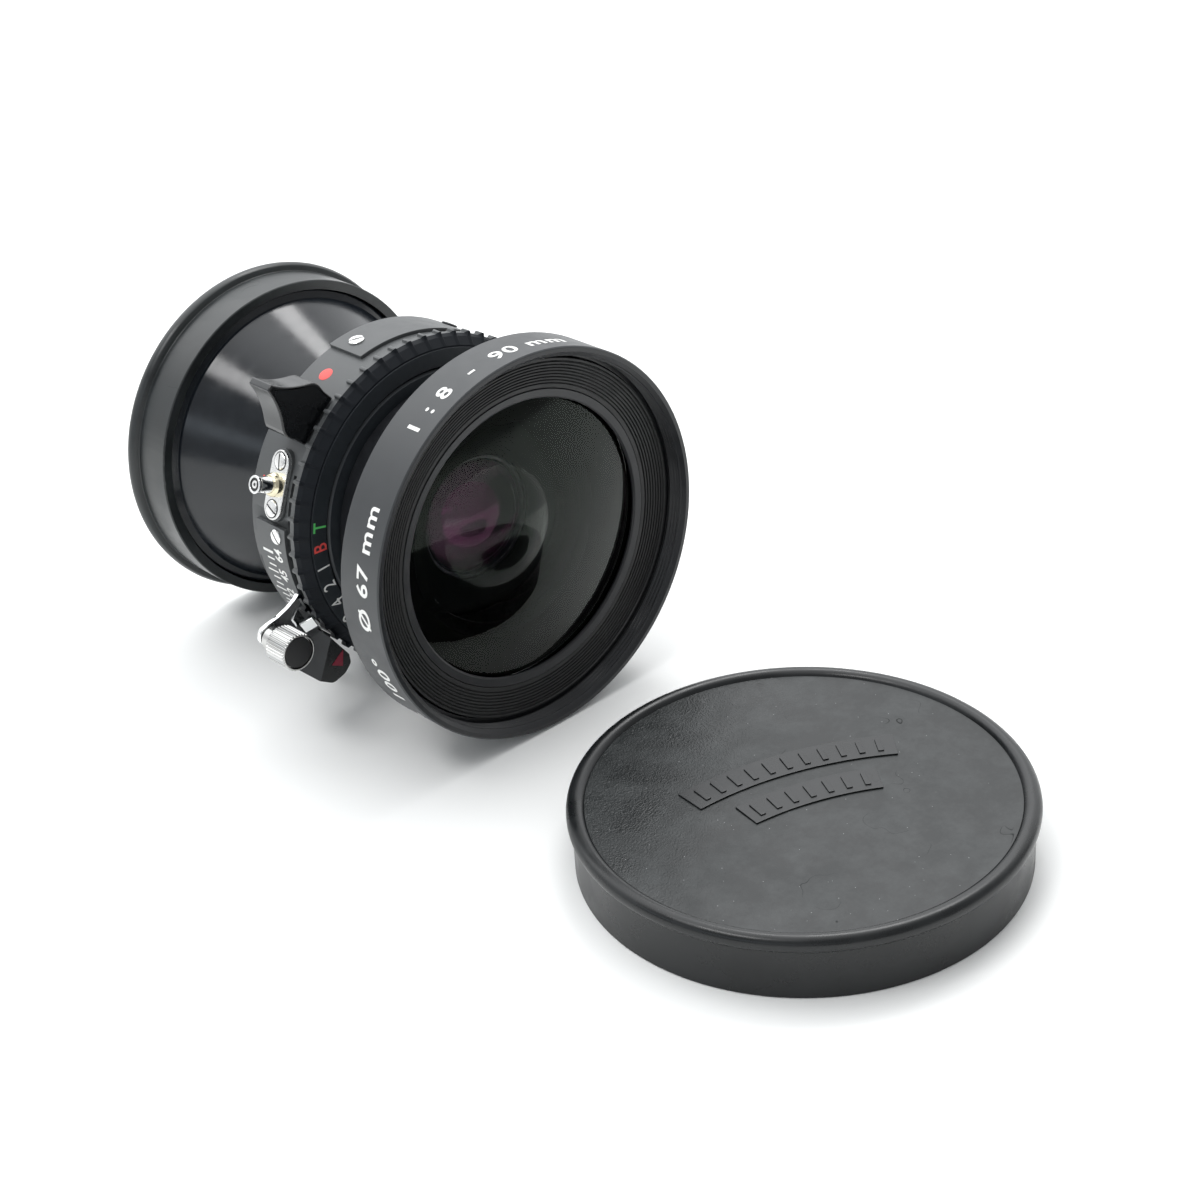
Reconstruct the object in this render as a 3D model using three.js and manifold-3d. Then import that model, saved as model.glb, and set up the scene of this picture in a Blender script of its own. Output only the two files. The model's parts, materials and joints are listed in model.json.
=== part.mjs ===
// Wide-angle lens for a view camera, mounted in a leaf shutter. It lies on its side on a
// table with its rear cap fitted, and its front cap lies flat in front of it.
// Millimetres, +Z up. The optical axis lies in the YZ plane and the front glass looks to -Y.
//
// Inside the lens every place is given by three values: the radius from the optical axis,
// the depth behind the front rim, and the angle clockwise from the top, seen from the front.
import * as THREE from "three";
import { mergeVertices } from "three/addons/utils/BufferGeometryUtils.js";
import Module from "manifold-3d";

const wasm = await Module();
wasm.setup();

// ---------------------------------------------------------------- driving dimensions

const RIM_R = 35; // outside of the name band
const BAND_END = 10.1; // depth of the rear edge of the name band
const FILTER_R = 33.4; // bore with the filter thread
const GLASS_R = 26.4; // front meniscus
const SPIGOT_R = 14.7; // threaded spigot of each lens cell
const CELL_BORE = 13.1;
const HOUSING_R = 29.2; // outside wall of the shutter
const HOUSING_BORE = 27.6;
const HOUSING_FRONT = 31.5;
const FLANGE_DEPTH = 44.1; // face that rests on the lens board
const SPEED_FACE = 27.5; // front face of the speed ring
const RIB_R = 30.7;
const RIB_COUNT = 58;
const REAR_R = 28.5; // rear barrel, where its cap fits
const REAR_END = 78.2;
const CAP_WALL = 1.85;
const FIT_GAP = 0.3; // clearance between a cap and its barrel
const BEAD = 1.5; // radius of the rounded rim of both caps
const REAR_CAP_MOUTH = 69.9; // depth
const REAR_BEAD_DEPTH = 79.2;
const REAR_BEAD_R = 32.06; // outermost radius of the rear cap
const FRONT_CAP_R = 38.03; // outermost radius of the front cap
const FRONT_CAP_HEIGHT = 11.63;
const FRONT_CAP_X = 2.15; // front cap, from the centre of the front rim
const FRONT_CAP_Y = -58.3;

const SHUTTER_BLADES = 5;
const IRIS_BLADES = 7;
const BLADE = 0.12; // thickness of a blade
const SHUTTER_PITCH = 0.35; // from one shutter blade to the next along the axis
const SHUTTER_STACK = 33.5;
const IRIS_PITCH = 0.4;
const IRIS_STACK = 36.3;
const OPENING_R = 12.3; // full opening of the shutter
const SHUTTER_PIVOT_R = 17.5;
const SHUTTER_SWING = 45;
const IRIS_PIVOT_R = 17;
const IRIS_SWING_OPEN = 21.4; // blade turn at f/8, from the full opening

const FOCUS_LEVER = -42.2; // angles of the parts round the shutter
const SYNC_TERMINAL = -67.2;
const COCKING_KNOB = -109.4;
const RELEASE_TIP = -124;
const APERTURE_LEVER = -141;
const CABLE_SOCKET = 128;
const TOP_PLATE = [-14.7, 50];
const SCALE_PLATE = [-146, -81.3];

const FINE = 44; // segments round the large turned parts
const MEDIUM = 26;
const COARSE = 14;

// The lens rests on the rear edge of its name band and on the bead of its rear cap.
const TILT = Math.atan2(RIM_R - REAR_BEAD_R, REAR_BEAD_DEPTH - BAND_END);
const AXIS_HEIGHT = BAND_END * Math.sin(TILT) + RIM_R * Math.cos(TILT);

// ---------------------------------------------------------------- shape helpers

const rad = THREE.MathUtils.degToRad;
const polar = (radius, angle) =>
  new THREE.Vector2(radius * Math.sin(rad(angle)), radius * Math.cos(rad(angle)));

function signedVolume(position, index) {
  const [a, b, c] = [new THREE.Vector3(), new THREE.Vector3(), new THREE.Vector3()];
  let volume = 0;
  for (let i = 0; i < index.length; i += 3) {
    a.fromBufferAttribute(position, index[i]);
    b.fromBufferAttribute(position, index[i + 1]);
    c.fromBufferAttribute(position, index[i + 2]);
    volume += a.dot(b.cross(c)) / 6;
  }
  return volume;
}

// Shared vertices merged, empty triangles dropped, faces pointing out.
function solid(source) {
  const bare = source.index ? source.toNonIndexed() : source.clone();
  bare.deleteAttribute("normal");
  bare.deleteAttribute("uv");
  bare.clearGroups();
  const merged = mergeVertices(bare, 1e-4);
  const all = merged.index.array;
  const index = [];
  for (let i = 0; i < all.length; i += 3) {
    const [a, b, c] = [all[i], all[i + 1], all[i + 2]];
    if (a !== b && b !== c && c !== a) index.push(a, b, c);
  }
  if (signedVolume(merged.attributes.position, index) < 0) index.reverse();
  merged.setIndex(index);
  return merged;
}

const toManifold = (geometry) =>
  new wasm.Manifold(
    new wasm.Mesh({
      numProp: 3,
      vertProperties: new Float32Array(geometry.attributes.position.array),
      triVerts: new Uint32Array(geometry.index.array),
    }),
  );

function fromManifold(body) {
  const mesh = body.getMesh();
  const geometry = new THREE.BufferGeometry();
  geometry.setAttribute("position", new THREE.BufferAttribute(mesh.vertProperties, 3));
  geometry.setIndex(new THREE.BufferAttribute(mesh.triVerts, 1));
  return geometry;
}

const cut = (body, ...tools) =>
  fromManifold(tools.reduce((left, tool) => left.subtract(toManifold(tool)), toManifold(body)));
const join = (body, ...more) =>
  fromManifold(more.reduce((sum, piece) => sum.add(toManifold(piece)), toManifold(body)));

// A solid of revolution about Z from [radius, height] points, closed on itself or on the axis.
function turned(profile, segments) {
  const onAxis = profile[0][0] === 0 && profile.at(-1)[0] === 0;
  const loop = onAxis ? profile : [...profile, profile[0]];
  const points = loop.map(([r, h]) => new THREE.Vector2(r, h));
  return solid(new THREE.LatheGeometry(points, segments).rotateX(Math.PI / 2));
}

// The same about the optical axis, from [radius, depth] points.
const lathe = (profile, segments = FINE) =>
  turned(profile.map(([r, depth]) => [r, -depth]), segments);

const ring = (inner, outer, front, back, segments = MEDIUM) =>
  lathe([[inner, front], [outer, front], [outer, back], [inner, back]], segments);

// [radius, depth] points of a spherical surface from the axis out to a rim.
function dome(vertex, rimR, rimDepth, steps = 4) {
  const sag = rimDepth - vertex;
  const radius = (rimR * rimR + sag * sag) / (2 * sag);
  return Array.from({ length: steps + 1 }, (_, i) => {
    const r = (rimR * i) / steps;
    const fall = Math.abs(radius) - Math.sqrt(radius * radius - r * r);
    return [r, vertex + Math.sign(sag) * fall];
  });
}

// [radius, height] points of part of a circle.
function arc(centreR, centreH, radius, from, to, steps) {
  return Array.from({ length: steps + 1 }, (_, i) => {
    const angle = rad(from + ((to - from) * i) / steps);
    return [centreR + radius * Math.cos(angle), centreH + radius * Math.sin(angle)];
  });
}

function circle(centre, radius, count = COARSE) {
  return Array.from({ length: count }, (_, i) =>
    polar(radius, (360 * i) / count).add(centre));
}

const anticlockwise = (outline) =>
  THREE.ShapeUtils.isClockWise(outline) ? outline.toReversed() : outline;

// A flat part seen from the front, between two depths.
function prism(outline, front, back, holes = []) {
  const shape = new THREE.Shape(anticlockwise(outline));
  shape.holes = holes.map((points) => new THREE.Path(points));
  const geometry = new THREE.ExtrudeGeometry(shape, {
    depth: back - front,
    bevelEnabled: false,
    curveSegments: 8,
  });
  return solid(geometry.translate(0, 0, -back));
}

function arcPoints(radius, from, to, step = 6) {
  const count = Math.max(1, Math.ceil(Math.abs(to - from) / step));
  return Array.from({ length: count + 1 }, (_, i) =>
    polar(radius, from + ((to - from) * i) / count));
}

const sector = (inner, outer, [from, to], front, back) =>
  prism([...arcPoints(outer, from, to), ...arcPoints(inner, to, from)], front, back);

// A part on the side wall: X runs round the wall, Y to the rear, Z outwards from the axis.
function onSide(geometry, angle, depth) {
  const outwards = polar(1, angle);
  const basis = new THREE.Matrix4().makeBasis(
    new THREE.Vector3(outwards.y, -outwards.x, 0),
    new THREE.Vector3(0, 0, -1),
    new THREE.Vector3(outwards.x, outwards.y, 0),
  );
  return geometry.applyMatrix4(basis.setPosition(0, 0, -depth));
}

function upright(outline, bottom, top) {
  const options = { depth: top - bottom, bevelEnabled: false };
  const geometry = new THREE.ExtrudeGeometry(new THREE.Shape(anticlockwise(outline)), options);
  return solid(geometry.translate(0, 0, bottom));
}

const tube = (inner, outer, bottom, top, segments = COARSE) =>
  turned([[inner, bottom], [outer, bottom], [outer, top], [inner, top]], segments);

const rod = (radius, bottom, top, segments = COARSE) =>
  turned([[0, bottom], [radius, bottom], [radius, top], [0, top]], segments);

function slab(width, length, bottom, top) {
  const box = new THREE.BoxGeometry(width, length, top - bottom);
  return solid(box.translate(0, 0, (bottom + top) / 2));
}

// A low screw head with its slot, standing on Z.
function screwHead(x, radius, bottom, height, slotAngle) {
  const slot = slab(3 * radius, 0.45, bottom + height * 0.5, bottom + height * 2);
  const head = cut(rod(radius, bottom, bottom + height, 16), slot.rotateZ(rad(slotAngle)));
  return head.translate(x, 0, 0);
}

// ---------------------------------------------------------------- materials

const finish = (color, roughness, metalness, more = {}) =>
  new THREE.MeshStandardMaterial({ color, roughness, metalness, ...more });
const blackAnodised = () => finish(0x1b1d20, 0.45, 0.6);
const glossBlack = () => finish(0x0f1115, 0.25, 0.5);
const mattBlack = () => finish(0x141516, 0.85, 0.1);
const greyAnodised = () => finish(0x4a4d50, 0.5, 0.6);
const chrome = () => finish(0xdfe0e0, 0.18, 1);
const steel = () => finish(0x9a9c9f, 0.35, 0.9);
const brass = () => finish(0xcdb98c, 0.3, 0.9);
const blackPlastic = () => finish(0x17181a, 0.4, 0);
const capPlastic = () => finish(0x25282a, 0.5, 0);
const glass = () => finish(0xdfe6ea, 0.02, 0, { transparent: true, opacity: 0.35 });

// ---------------------------------------------------------------- assembly

const object = new THREE.Group();
const lens = new THREE.Group();
lens.rotation.x = Math.PI / 2 - TILT;
lens.position.z = AXIS_HEIGHT;
object.add(lens);

function add(name, geometry, material, group = lens) {
  geometry.computeVertexNormals();
  const mesh = new THREE.Mesh(geometry, material);
  mesh.name = name;
  group.add(mesh);
  return mesh;
}

// ---------------------------------------------------------------- front cell

function addFrontCell() {
  const barrel = [
    [34, 0], [34.8, 0], [RIM_R, 0.2], [RIM_R, BAND_END], [33, BAND_END], [22.6, 24.2],
    [22.6, 26.9], [SPIGOT_R, 26.9], [SPIGOT_R, 32.2], [CELL_BORE, 32.2], [CELL_BORE, 22.9],
    [19.8, 22.9], [19.8, 21.5], [GLASS_R + 0.3, 11.2], [GLASS_R + 0.3, 7.5], [32.45, 7.5],
    [32.45, 3.9], [FILTER_R, 3.9], [FILTER_R, 0.6],
  ];
  add("front_barrel", lathe(barrel), blackAnodised());

  const baffle = lathe([[26.95, 4.1], [31.5, 3.2], [32.2, 3.2], [32.2, 7.2], [26.95, 7.2]]);
  const notch = onSide(slab(2, 2, 31, 34), 52, 3.5);
  add("baffle_ring", cut(baffle, notch), mattBlack());
  add("front_retaining_ring", lathe([[25.1, 4.3], [26.7, 3.95], [26.7, 4.75], [25.1, 4.75]]),
    blackAnodised());

  const meniscus = [
    ...dome(1.9, GLASS_R, 5.45), [GLASS_R, 10.5], ...dome(5.2, 18.6, 14.2, 5).reverse(),
  ];
  add("front_meniscus", lathe(meniscus, MEDIUM), glass());
  add("front_spacer", lathe([
    [25.5, 12], [24, 12], [19.3, 14.4], [13.7, 21.4], [13.7, 22.6], [18.9, 22.6], [25.5, 12.6],
  ], MEDIUM), mattBlack());
  add("front_doublet_outer", lathe([
    ...dome(19.4, 12.9, 24.4, 3), ...dome(27.2, 12.9, 25.2, 2).reverse(),
  ], MEDIUM), glass());
  add("front_doublet_inner", lathe([
    ...dome(27.35, 12.9, 25.35, 2), [12.9, 30.5], [0, 30.5],
  ], MEDIUM), glass());
  add("front_cell_retainer", ring(11.2, 12.85, 30.8, 31.9), mattBlack());
}

// ---------------------------------------------------------------- shutter

function addSpeedRing() {
  const body = lathe([
    [25.1, SPEED_FACE], [28.2, SPEED_FACE], [28.5, SPEED_FACE + 0.3], [30, 29.5],
    [30, 31.2], [25.1, 31.2],
  ]);
  const outline = [];
  const pitch = 360 / RIB_COUNT;
  for (let i = 0; i < RIB_COUNT; i += 1) {
    const start = i * pitch;
    outline.push(polar(30, start), polar(RIB_R, start + 0.15 * pitch));
    outline.push(polar(RIB_R, start + 0.5 * pitch));
  }
  const hole = circle(new THREE.Vector2(), 28, 24);
  add("speed_ring", join(body, prism(outline, 29.8, 31.1, [hole])), blackAnodised());
  add("speed_ring_retainer", lathe([
    [17, SPEED_FACE], [24.3, SPEED_FACE], [24.7, 27.9], [24.7, 29], [17, 29],
  ], MEDIUM), blackAnodised());
}

function addHousing() {
  const cup = lathe([
    [HOUSING_BORE, HOUSING_FRONT], [HOUSING_R, HOUSING_FRONT], [HOUSING_R, FLANGE_DEPTH - 0.4],
    [HOUSING_R - 0.4, FLANGE_DEPTH], [21.2, FLANGE_DEPTH], [21.2, 43.7], [17.2, 43.7],
    [17.2, 48.6], [15.5, 48.6], [15.5, 43.1], [HOUSING_BORE, 43.1],
  ]);
  const slot = (span, front, back) => sector(HOUSING_BORE - 1, HOUSING_R + 1, span, front, back);
  const leverSlot = slot([-134, -62], HOUSING_FRONT - 1, 33.25);
  const focusSlot = slot([-58.5, -24], 34.5, 36);
  const apertureSlot = slot([-150, -88], 41.7, 42.8);
  const socketHole = onSide(rod(1.5, 26, 31, 12), CABLE_SOCKET, 37);
  add("shutter_housing", cut(cup, leverSlot, focusSlot, apertureSlot, socketHole),
    greyAnodised());
  add("shutter_front_plate", lathe([
    [15, 29.3], [24.6, 29.3], [24.6, 31.6], [27.3, 31.6], [27.3, 32.45], [15, 32.45],
  ], MEDIUM), blackAnodised());
  add("blade_carrier", ring(OPENING_R + 0.4, 27.2, 35.3, 35.9), steel());
  const topPlate = sector(HOUSING_R + 0.2, 30.15, TOP_PLATE, 34.8, 43.9);
  add("top_plate", topPlate, greyAnodised());
  const scalePlate = sector(HOUSING_R + 0.2, 30, SCALE_PLATE, 34.8, 41.5);
  add("aperture_scale_plate", scalePlate, greyAnodised());
}

function addSmallScrews() {
  for (const [name, angle, depth, base, slot] of [
    ["top_plate_screw_left", -8.8, 39.8, 30.25, 30],
    ["top_plate_screw_right", 33, 40.5, 30.25, -50],
    ["scale_plate_screw", -86.1, 37, 30.1, 65],
  ]) {
    add(name, onSide(screwHead(0, 1.45, base, 0.5, slot), angle, depth), chrome());
  }
}

// A crescent that closes the opening when it lies over it, turned about its own pivot.
function addShutterBlades() {
  const swing = rad(SHUTTER_SWING);
  const pivot = polar(SHUTTER_PIVOT_R, 0);
  const edge = circle(new THREE.Vector2(), OPENING_R, 24);
  const away = new THREE.Vector2().rotateAround(pivot, swing);
  const blade = cut(
    prism(circle(new THREE.Vector2(), OPENING_R + 0.7, 24), 0, BLADE),
    prism(edge.map((point) => point.clone().add(away)), -1, 1),
  );
  const tab = prism(circle(pivot, 1.6, 12), 0, BLADE);
  const arm = prism([
    polar(SHUTTER_PIVOT_R + 1, -3), polar(SHUTTER_PIVOT_R + 1, 3), polar(11, 12), polar(11, -6),
  ], 0, BLADE);
  for (let i = 0; i < SHUTTER_BLADES; i += 1) {
    const mesh = add(`shutter_blade_${i + 1}`, join(blade, arm, tab), steel());
    mesh.rotation.z = (-2 * Math.PI * i) / SHUTTER_BLADES;
    mesh.position.z = -(SHUTTER_STACK + i * SHUTTER_PITCH);
  }
}

function addIrisBlades() {
  const pivot = polar(IRIS_PIVOT_R, 0);
  const strip = [...arcPoints(18.6, -5, 118, 8), ...arcPoints(OPENING_R, 118, -5, 8)]
    .map((point) => point.rotateAround(pivot, rad(-IRIS_SWING_OPEN)));
  for (let i = 0; i < IRIS_BLADES; i += 1) {
    const mesh = add(`iris_blade_${i + 1}`, prism(strip, 0, BLADE), mattBlack());
    mesh.rotation.z = (-2 * Math.PI * i) / IRIS_BLADES;
    mesh.position.z = -(IRIS_STACK + i * IRIS_PITCH);
  }
}

function addRetardTrain() {
  const wheel = (angle, radius, teeth) => {
    const centre = polar(21.2, angle);
    const outline = Array.from({ length: 2 * teeth }, (_, i) =>
      polar(i % 2 ? radius : radius - 0.9, (180 * i) / teeth).add(centre));
    return prism(outline, 39.8, 40.6, [circle(centre, 0.7, 8)]);
  };
  add("retard_wheel_large", wheel(80, 4.6, 18), brass());
  add("retard_wheel_small", wheel(102.5, 2.6, 10), brass());
}

// ---------------------------------------------------------------- levers

function addFocusLever() {
  const [half, tipR, wingR, baseR] = [5.5, 42.1, 34.4, HOUSING_R + 0.4];
  const scoop = (side, count = 6) => {
    const curve = new THREE.QuadraticBezierCurve(
      new THREE.Vector2(side * half, wingR),
      new THREE.Vector2(side * 1.83, 37.5),
      new THREE.Vector2(side * 0.5, tipR),
    );
    return curve.getPoints(count);
  };
  const outline = [
    new THREE.Vector2(-4.7, baseR), ...scoop(-1), ...scoop(1).reverse(),
    new THREE.Vector2(4.7, baseR),
  ];
  const turn = (points) =>
    points.map((point) => point.rotateAround(new THREE.Vector2(), rad(-FOCUS_LEVER)));
  const tongue = [[-1.6, 28], [1.6, 28], [1.6, 30.5], [-1.6, 30.5]]
    .map(([x, y]) => new THREE.Vector2(x, y));
  add("focus_lever", join(prism(turn(outline), 32.1, 38), prism(turn(tongue), 34.7, 35.8)),
    blackPlastic());
}

function addCockingLever() {
  const knobR = 38.5;
  const knob = polar(knobR, COCKING_KNOB);
  const arm = [
    polar(28.3, -104.5), polar(31, -105.9), polar(34, -106.7), polar(37, -106.6),
    polar(39.8, -106.4), polar(40.9, -108.6), polar(40.4, -111.6), polar(37.4, -112.9),
    polar(33, -114), polar(28.3, -114.6),
  ];
  const tab = [polar(26.5, -105), polar(29, -105), polar(29, -114), polar(26.5, -114)];
  add("cocking_lever", join(
    prism(arm, 32.15, 32.95), prism(tab, 32.65, 32.95), ring(22, 27.2, 32.65, 33.05),
  ), chrome());

  const flutes = Array.from({ length: 44 }, (_, i) =>
    polar(i % 2 ? 3.4 : 3.12, (360 * i) / 44).add(knob));
  const recess = prism(circle(knob, 2.95), 23, 24.3);
  const boss = prism(circle(knob, 2), 28.5, 31.95);
  add("cocking_knob", cut(join(prism(flutes, 23.6, 29), boss), recess), chrome());
  add("cocking_knob_insert", prism(circle(knob, 2.75), 23.6, 24.15), blackPlastic());
}

function addReleaseLever() {
  const plate = [
    polar(27.8, -113.4), polar(33.2, -113.6), polar(33.6, -118.2), polar(36.8, -118.6),
    polar(36.8, -128.4), polar(33.4, -128.4), polar(32, -119.8), polar(27.8, -119.6),
  ];
  add("release_lever", prism(plate, 31.5, 31.95), chrome());
  // Section of the thumb piece across the lever, with a ridge between its two slopes.
  const section = [[-4.1, 29.4], [0.5, 27.5], [4.4, 30.4], [4.4, 33.2], [-4.1, 33.2]]
    .map(([across, depth]) => new THREE.Vector2(across, depth - 31));
  const envelope = prism([
    polar(29, -111), polar(37.2, -116), polar(37.2, -129.5), polar(29, -129.5),
  ], 31.3, 32.15);
  add("release_tip", cut(onSide(upright(section, 31.5, 38.6), RELEASE_TIP, 31), envelope),
    blackPlastic());
}

function addApertureLever() {
  const [front, back] = [41.95, 42.55];
  const arm = [
    polar(26, APERTURE_LEVER - 4), polar(26, APERTURE_LEVER + 4),
    polar(31.2, APERTURE_LEVER + 2.6), polar(34.6, APERTURE_LEVER + 3.4),
    polar(34.6, APERTURE_LEVER - 3.4), polar(31.2, APERTURE_LEVER - 2.6),
  ];
  const grip = onSide(slab(3.8, 3.4, 33.4, 34.5), APERTURE_LEVER, 41);
  add("aperture_lever", join(ring(16, 27.1, front, back), prism(arm, front, back), grip),
    blackAnodised());
}

// ---------------------------------------------------------------- flash sync terminal

function stadium(length, width, count = 8) {
  const reach = (length - width) / 2;
  const half = (side) => Array.from({ length: count + 1 }, (_, i) => {
    const angle = Math.PI * (i / count - 0.5);
    return new THREE.Vector2(
      side * (reach + (width / 2) * Math.cos(angle)), side * (width / 2) * Math.sin(angle));
  });
  return [...half(1), ...half(-1)];
}

function addSyncTerminal() {
  const depth = 36.3;
  const place = (geometry) => onSide(geometry, SYNC_TERMINAL, depth);
  const wall = ring(20, HOUSING_R + 0.2, 30, 42, FINE);
  add("sync_spacer", cut(place(upright(stadium(13.2, 4.7), 28, 30.55)), wall),
    blackPlastic());
  add("sync_plate", place(upright(stadium(12.4, 4.1), 30.7, 31.4)), chrome());
  add("sync_boss", place(tube(2.05, 2.6, 31.6, 32.7)), brass());
  add("sync_barrel", place(tube(1.35, 1.75, 31.6, 35.2)), chrome());
  add("sync_insulator", place(tube(0.85, 1.15, 31.6, 34.9)), blackPlastic());
  add("sync_contact", place(tube(0.3, 0.65, 31.6, 35)), steel());
  for (const [side, slot] of [[-1, 75], [1, 20]]) {
    const head = screwHead(side * 4.25, 1.4, 31.6, 0.5, 0);
    const turnedHead = head.translate(-side * 4.25, 0, 0).rotateZ(rad(slot))
      .translate(side * 4.25, 0, 0);
    add(side < 0 ? "sync_screw_lower" : "sync_screw_upper", place(turnedHead), chrome());
  }
}

function addCableSocket() {
  const profile = [[1.15, 29.6], [3.4, 29.6], [3.4, 30.4], [2.7, 30.6], [2.5, 34.6], [1.15, 34.6]];
  add("cable_release_socket", onSide(turned(profile, COARSE), CABLE_SOCKET, 37), chrome());
}

// ---------------------------------------------------------------- rear cell

function addRearCell() {
  const barrel = [
    [CELL_BORE, 41], [15.2, 41], [15.2, 48.9], [17.4, 48.9], [17.4, 50.2], [27.2, 69.6],
    [27.2, 70.3], [REAR_R, 70.7], [REAR_R, REAR_END], [26.3, REAR_END], [23.9, 75.6],
    [23.9, 66.2], [16.6, 51.5], [16, 50.6], [16, 49.6], [CELL_BORE, 49.6],
  ];
  add("rear_barrel", lathe(barrel), glossBlack());
  add("rear_cell_retainer", ring(11.2, 12.85, 41.3, 42.1), mattBlack());
  add("rear_doublet_inner", lathe([
    [0, 42.4], [12.9, 42.4], ...dome(45.65, 12.9, 47.65, 2).reverse(),
  ], MEDIUM), glass());
  add("rear_doublet_outer", lathe([
    ...dome(45.8, 12.9, 47.8, 2), ...dome(53.6, 12.9, 48.6, 3).reverse(),
  ], MEDIUM), glass());
  add("rear_spacer", lathe([
    [23.2, 65.8], [22, 65.8], [17.4, 63.2], [13.6, 51], [13.6, 50], [15.7, 50],
    [15.7, 50.8], [16.3, 51.8],
  ], MEDIUM), mattBlack());
  add("rear_meniscus", lathe([
    ...dome(72.4, 16.8, 63.6, 5), [23.6, 67], ...dome(75.8, 23.6, 72.6).reverse(),
  ], MEDIUM), glass());
  add("rear_retaining_ring", ring(22.4, 23.7, 73.4, 74.5), blackAnodised());

  const nut = ring(17.5, 20.6, 45.4, 47.6);
  const notches = [45, 225].map((angle) => onSide(slab(2.4, 4, 19, 22), angle, 46.5));
  add("mounting_nut", cut(nut, ...notches), blackAnodised());
}

// ---------------------------------------------------------------- caps

// Cap profile, mouth at height 0, closed end at the top with a rounded rim round a recess.
function capProfile(bore, outer, height) {
  const centreR = outer - BEAD;
  const centreH = height - BEAD;
  const skirt = bore + CAP_WALL;
  return [
    [0, height - 2.05], [bore, height - 2.05], [bore, 0], [skirt - 0.2, 0], [skirt, 0.2],
    [skirt, centreH - BEAD * 0.8], ...arc(centreR, centreH, BEAD, -45, 150, 7),
    [centreR - BEAD, height - 0.75], [0, height - 0.75],
  ];
}

function addCaps() {
  const rearTop = REAR_BEAD_DEPTH + BEAD;
  const rearHeight = rearTop - REAR_CAP_MOUTH;
  const rearProfile = capProfile(REAR_R + FIT_GAP, REAR_BEAD_R, rearHeight)
    .map(([r, h]) => [r, REAR_CAP_MOUTH + h]);
  add("rear_cap", lathe(rearProfile), capPlastic());

  const frontProfile = capProfile(RIM_R + FIT_GAP, FRONT_CAP_R, FRONT_CAP_HEIGHT);
  const frontCap = add("front_cap", turned(frontProfile, FINE), capPlastic(), object);
  frontCap.position.set(FRONT_CAP_X, FRONT_CAP_Y, 0);
}

addFrontCell();
addSpeedRing();
addHousing();
addSmallScrews();
addShutterBlades();
addIrisBlades();
addRetardTrain();
addFocusLever();
addCockingLever();
addReleaseLever();
addApertureLever();
addSyncTerminal();
addCableSocket();
addRearCell();
addCaps();

// The origin is the middle of the bottom of the whole set.
object.updateMatrixWorld(true);
const box = new THREE.Box3();
object.traverse((item) => {
  if (item.isMesh) box.expandByObject(item, true);
});
const centre = box.getCenter(new THREE.Vector3());
object.position.set(-centre.x, -centre.y, -box.min.z);

export default object;
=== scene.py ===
import json
import math

import bmesh
import bpy
import numpy as np
from mathutils import Matrix, Vector


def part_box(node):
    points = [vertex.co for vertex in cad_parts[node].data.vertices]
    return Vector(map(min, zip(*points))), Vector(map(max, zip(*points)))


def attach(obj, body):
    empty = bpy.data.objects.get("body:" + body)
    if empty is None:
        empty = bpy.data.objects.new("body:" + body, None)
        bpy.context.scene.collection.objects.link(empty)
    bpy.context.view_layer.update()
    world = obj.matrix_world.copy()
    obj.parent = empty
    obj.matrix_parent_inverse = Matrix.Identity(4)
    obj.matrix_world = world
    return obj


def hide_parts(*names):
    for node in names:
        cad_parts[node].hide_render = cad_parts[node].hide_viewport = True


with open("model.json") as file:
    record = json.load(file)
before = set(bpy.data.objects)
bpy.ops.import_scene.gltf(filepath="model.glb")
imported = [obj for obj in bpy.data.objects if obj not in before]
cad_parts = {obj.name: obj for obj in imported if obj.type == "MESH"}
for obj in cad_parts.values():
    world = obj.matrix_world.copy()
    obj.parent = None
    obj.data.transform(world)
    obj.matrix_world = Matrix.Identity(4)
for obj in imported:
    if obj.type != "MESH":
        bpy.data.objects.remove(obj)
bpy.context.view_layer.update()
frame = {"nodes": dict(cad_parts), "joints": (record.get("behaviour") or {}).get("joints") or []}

MM = 0.001

# -------- places taken from the frame

# In the lens frame X points right and Y up, seen from the front, and Z runs along the optical
# axis to the front. Depth is measured behind the front rim, and angles run clockwise from
# the top, seen from the front. Both are in millimetres and degrees in the whole script.


def lens_frame():
    """The lens frame's matrix, from the speed ring's axis and the front rim."""
    joint = next(j for j in frame["joints"] if j["name"] == "speed_setting")
    to_front = -Vector(joint["axis"]).normalized()
    on_axis = Vector(joint["pos_m"])
    rim = max(to_front.dot(v.co) for v in frame["nodes"]["front_barrel"].data.vertices)
    right = Vector((1, 0, 0))
    matrix = Matrix((right, to_front.cross(right), to_front)).transposed().to_4x4()
    matrix.translation = on_axis + to_front * (rim - to_front.dot(on_axis))
    return matrix


LENS = lens_frame()


def reach(node):
    """Outer radius, front depth and back depth of a node about the optical axis, in mm."""
    inverse = LENS.inverted()
    places = [inverse @ v.co / MM for v in frame["nodes"][node].data.vertices]
    depths = [-p.z for p in places]
    return max(math.hypot(p.x, p.y) for p in places), min(depths), max(depths)


def side(angle, depth):
    """A frame on the wall: X runs clockwise round it, Y to the rear, Z away from the axis."""
    turn = math.radians(angle)
    out = Vector((math.sin(turn), math.cos(turn), 0))
    basis = Matrix(((out.y, -out.x, 0), (0, 0, -1), out)).transposed().to_4x4()
    basis.translation = Vector((0, 0, -depth * MM))
    return LENS @ basis


def shift(x, y, z):
    return Matrix.Translation((x * MM, y * MM, z * MM))


def rotation(angle, axis):
    return Matrix.Rotation(math.radians(angle), 4, axis)


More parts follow.
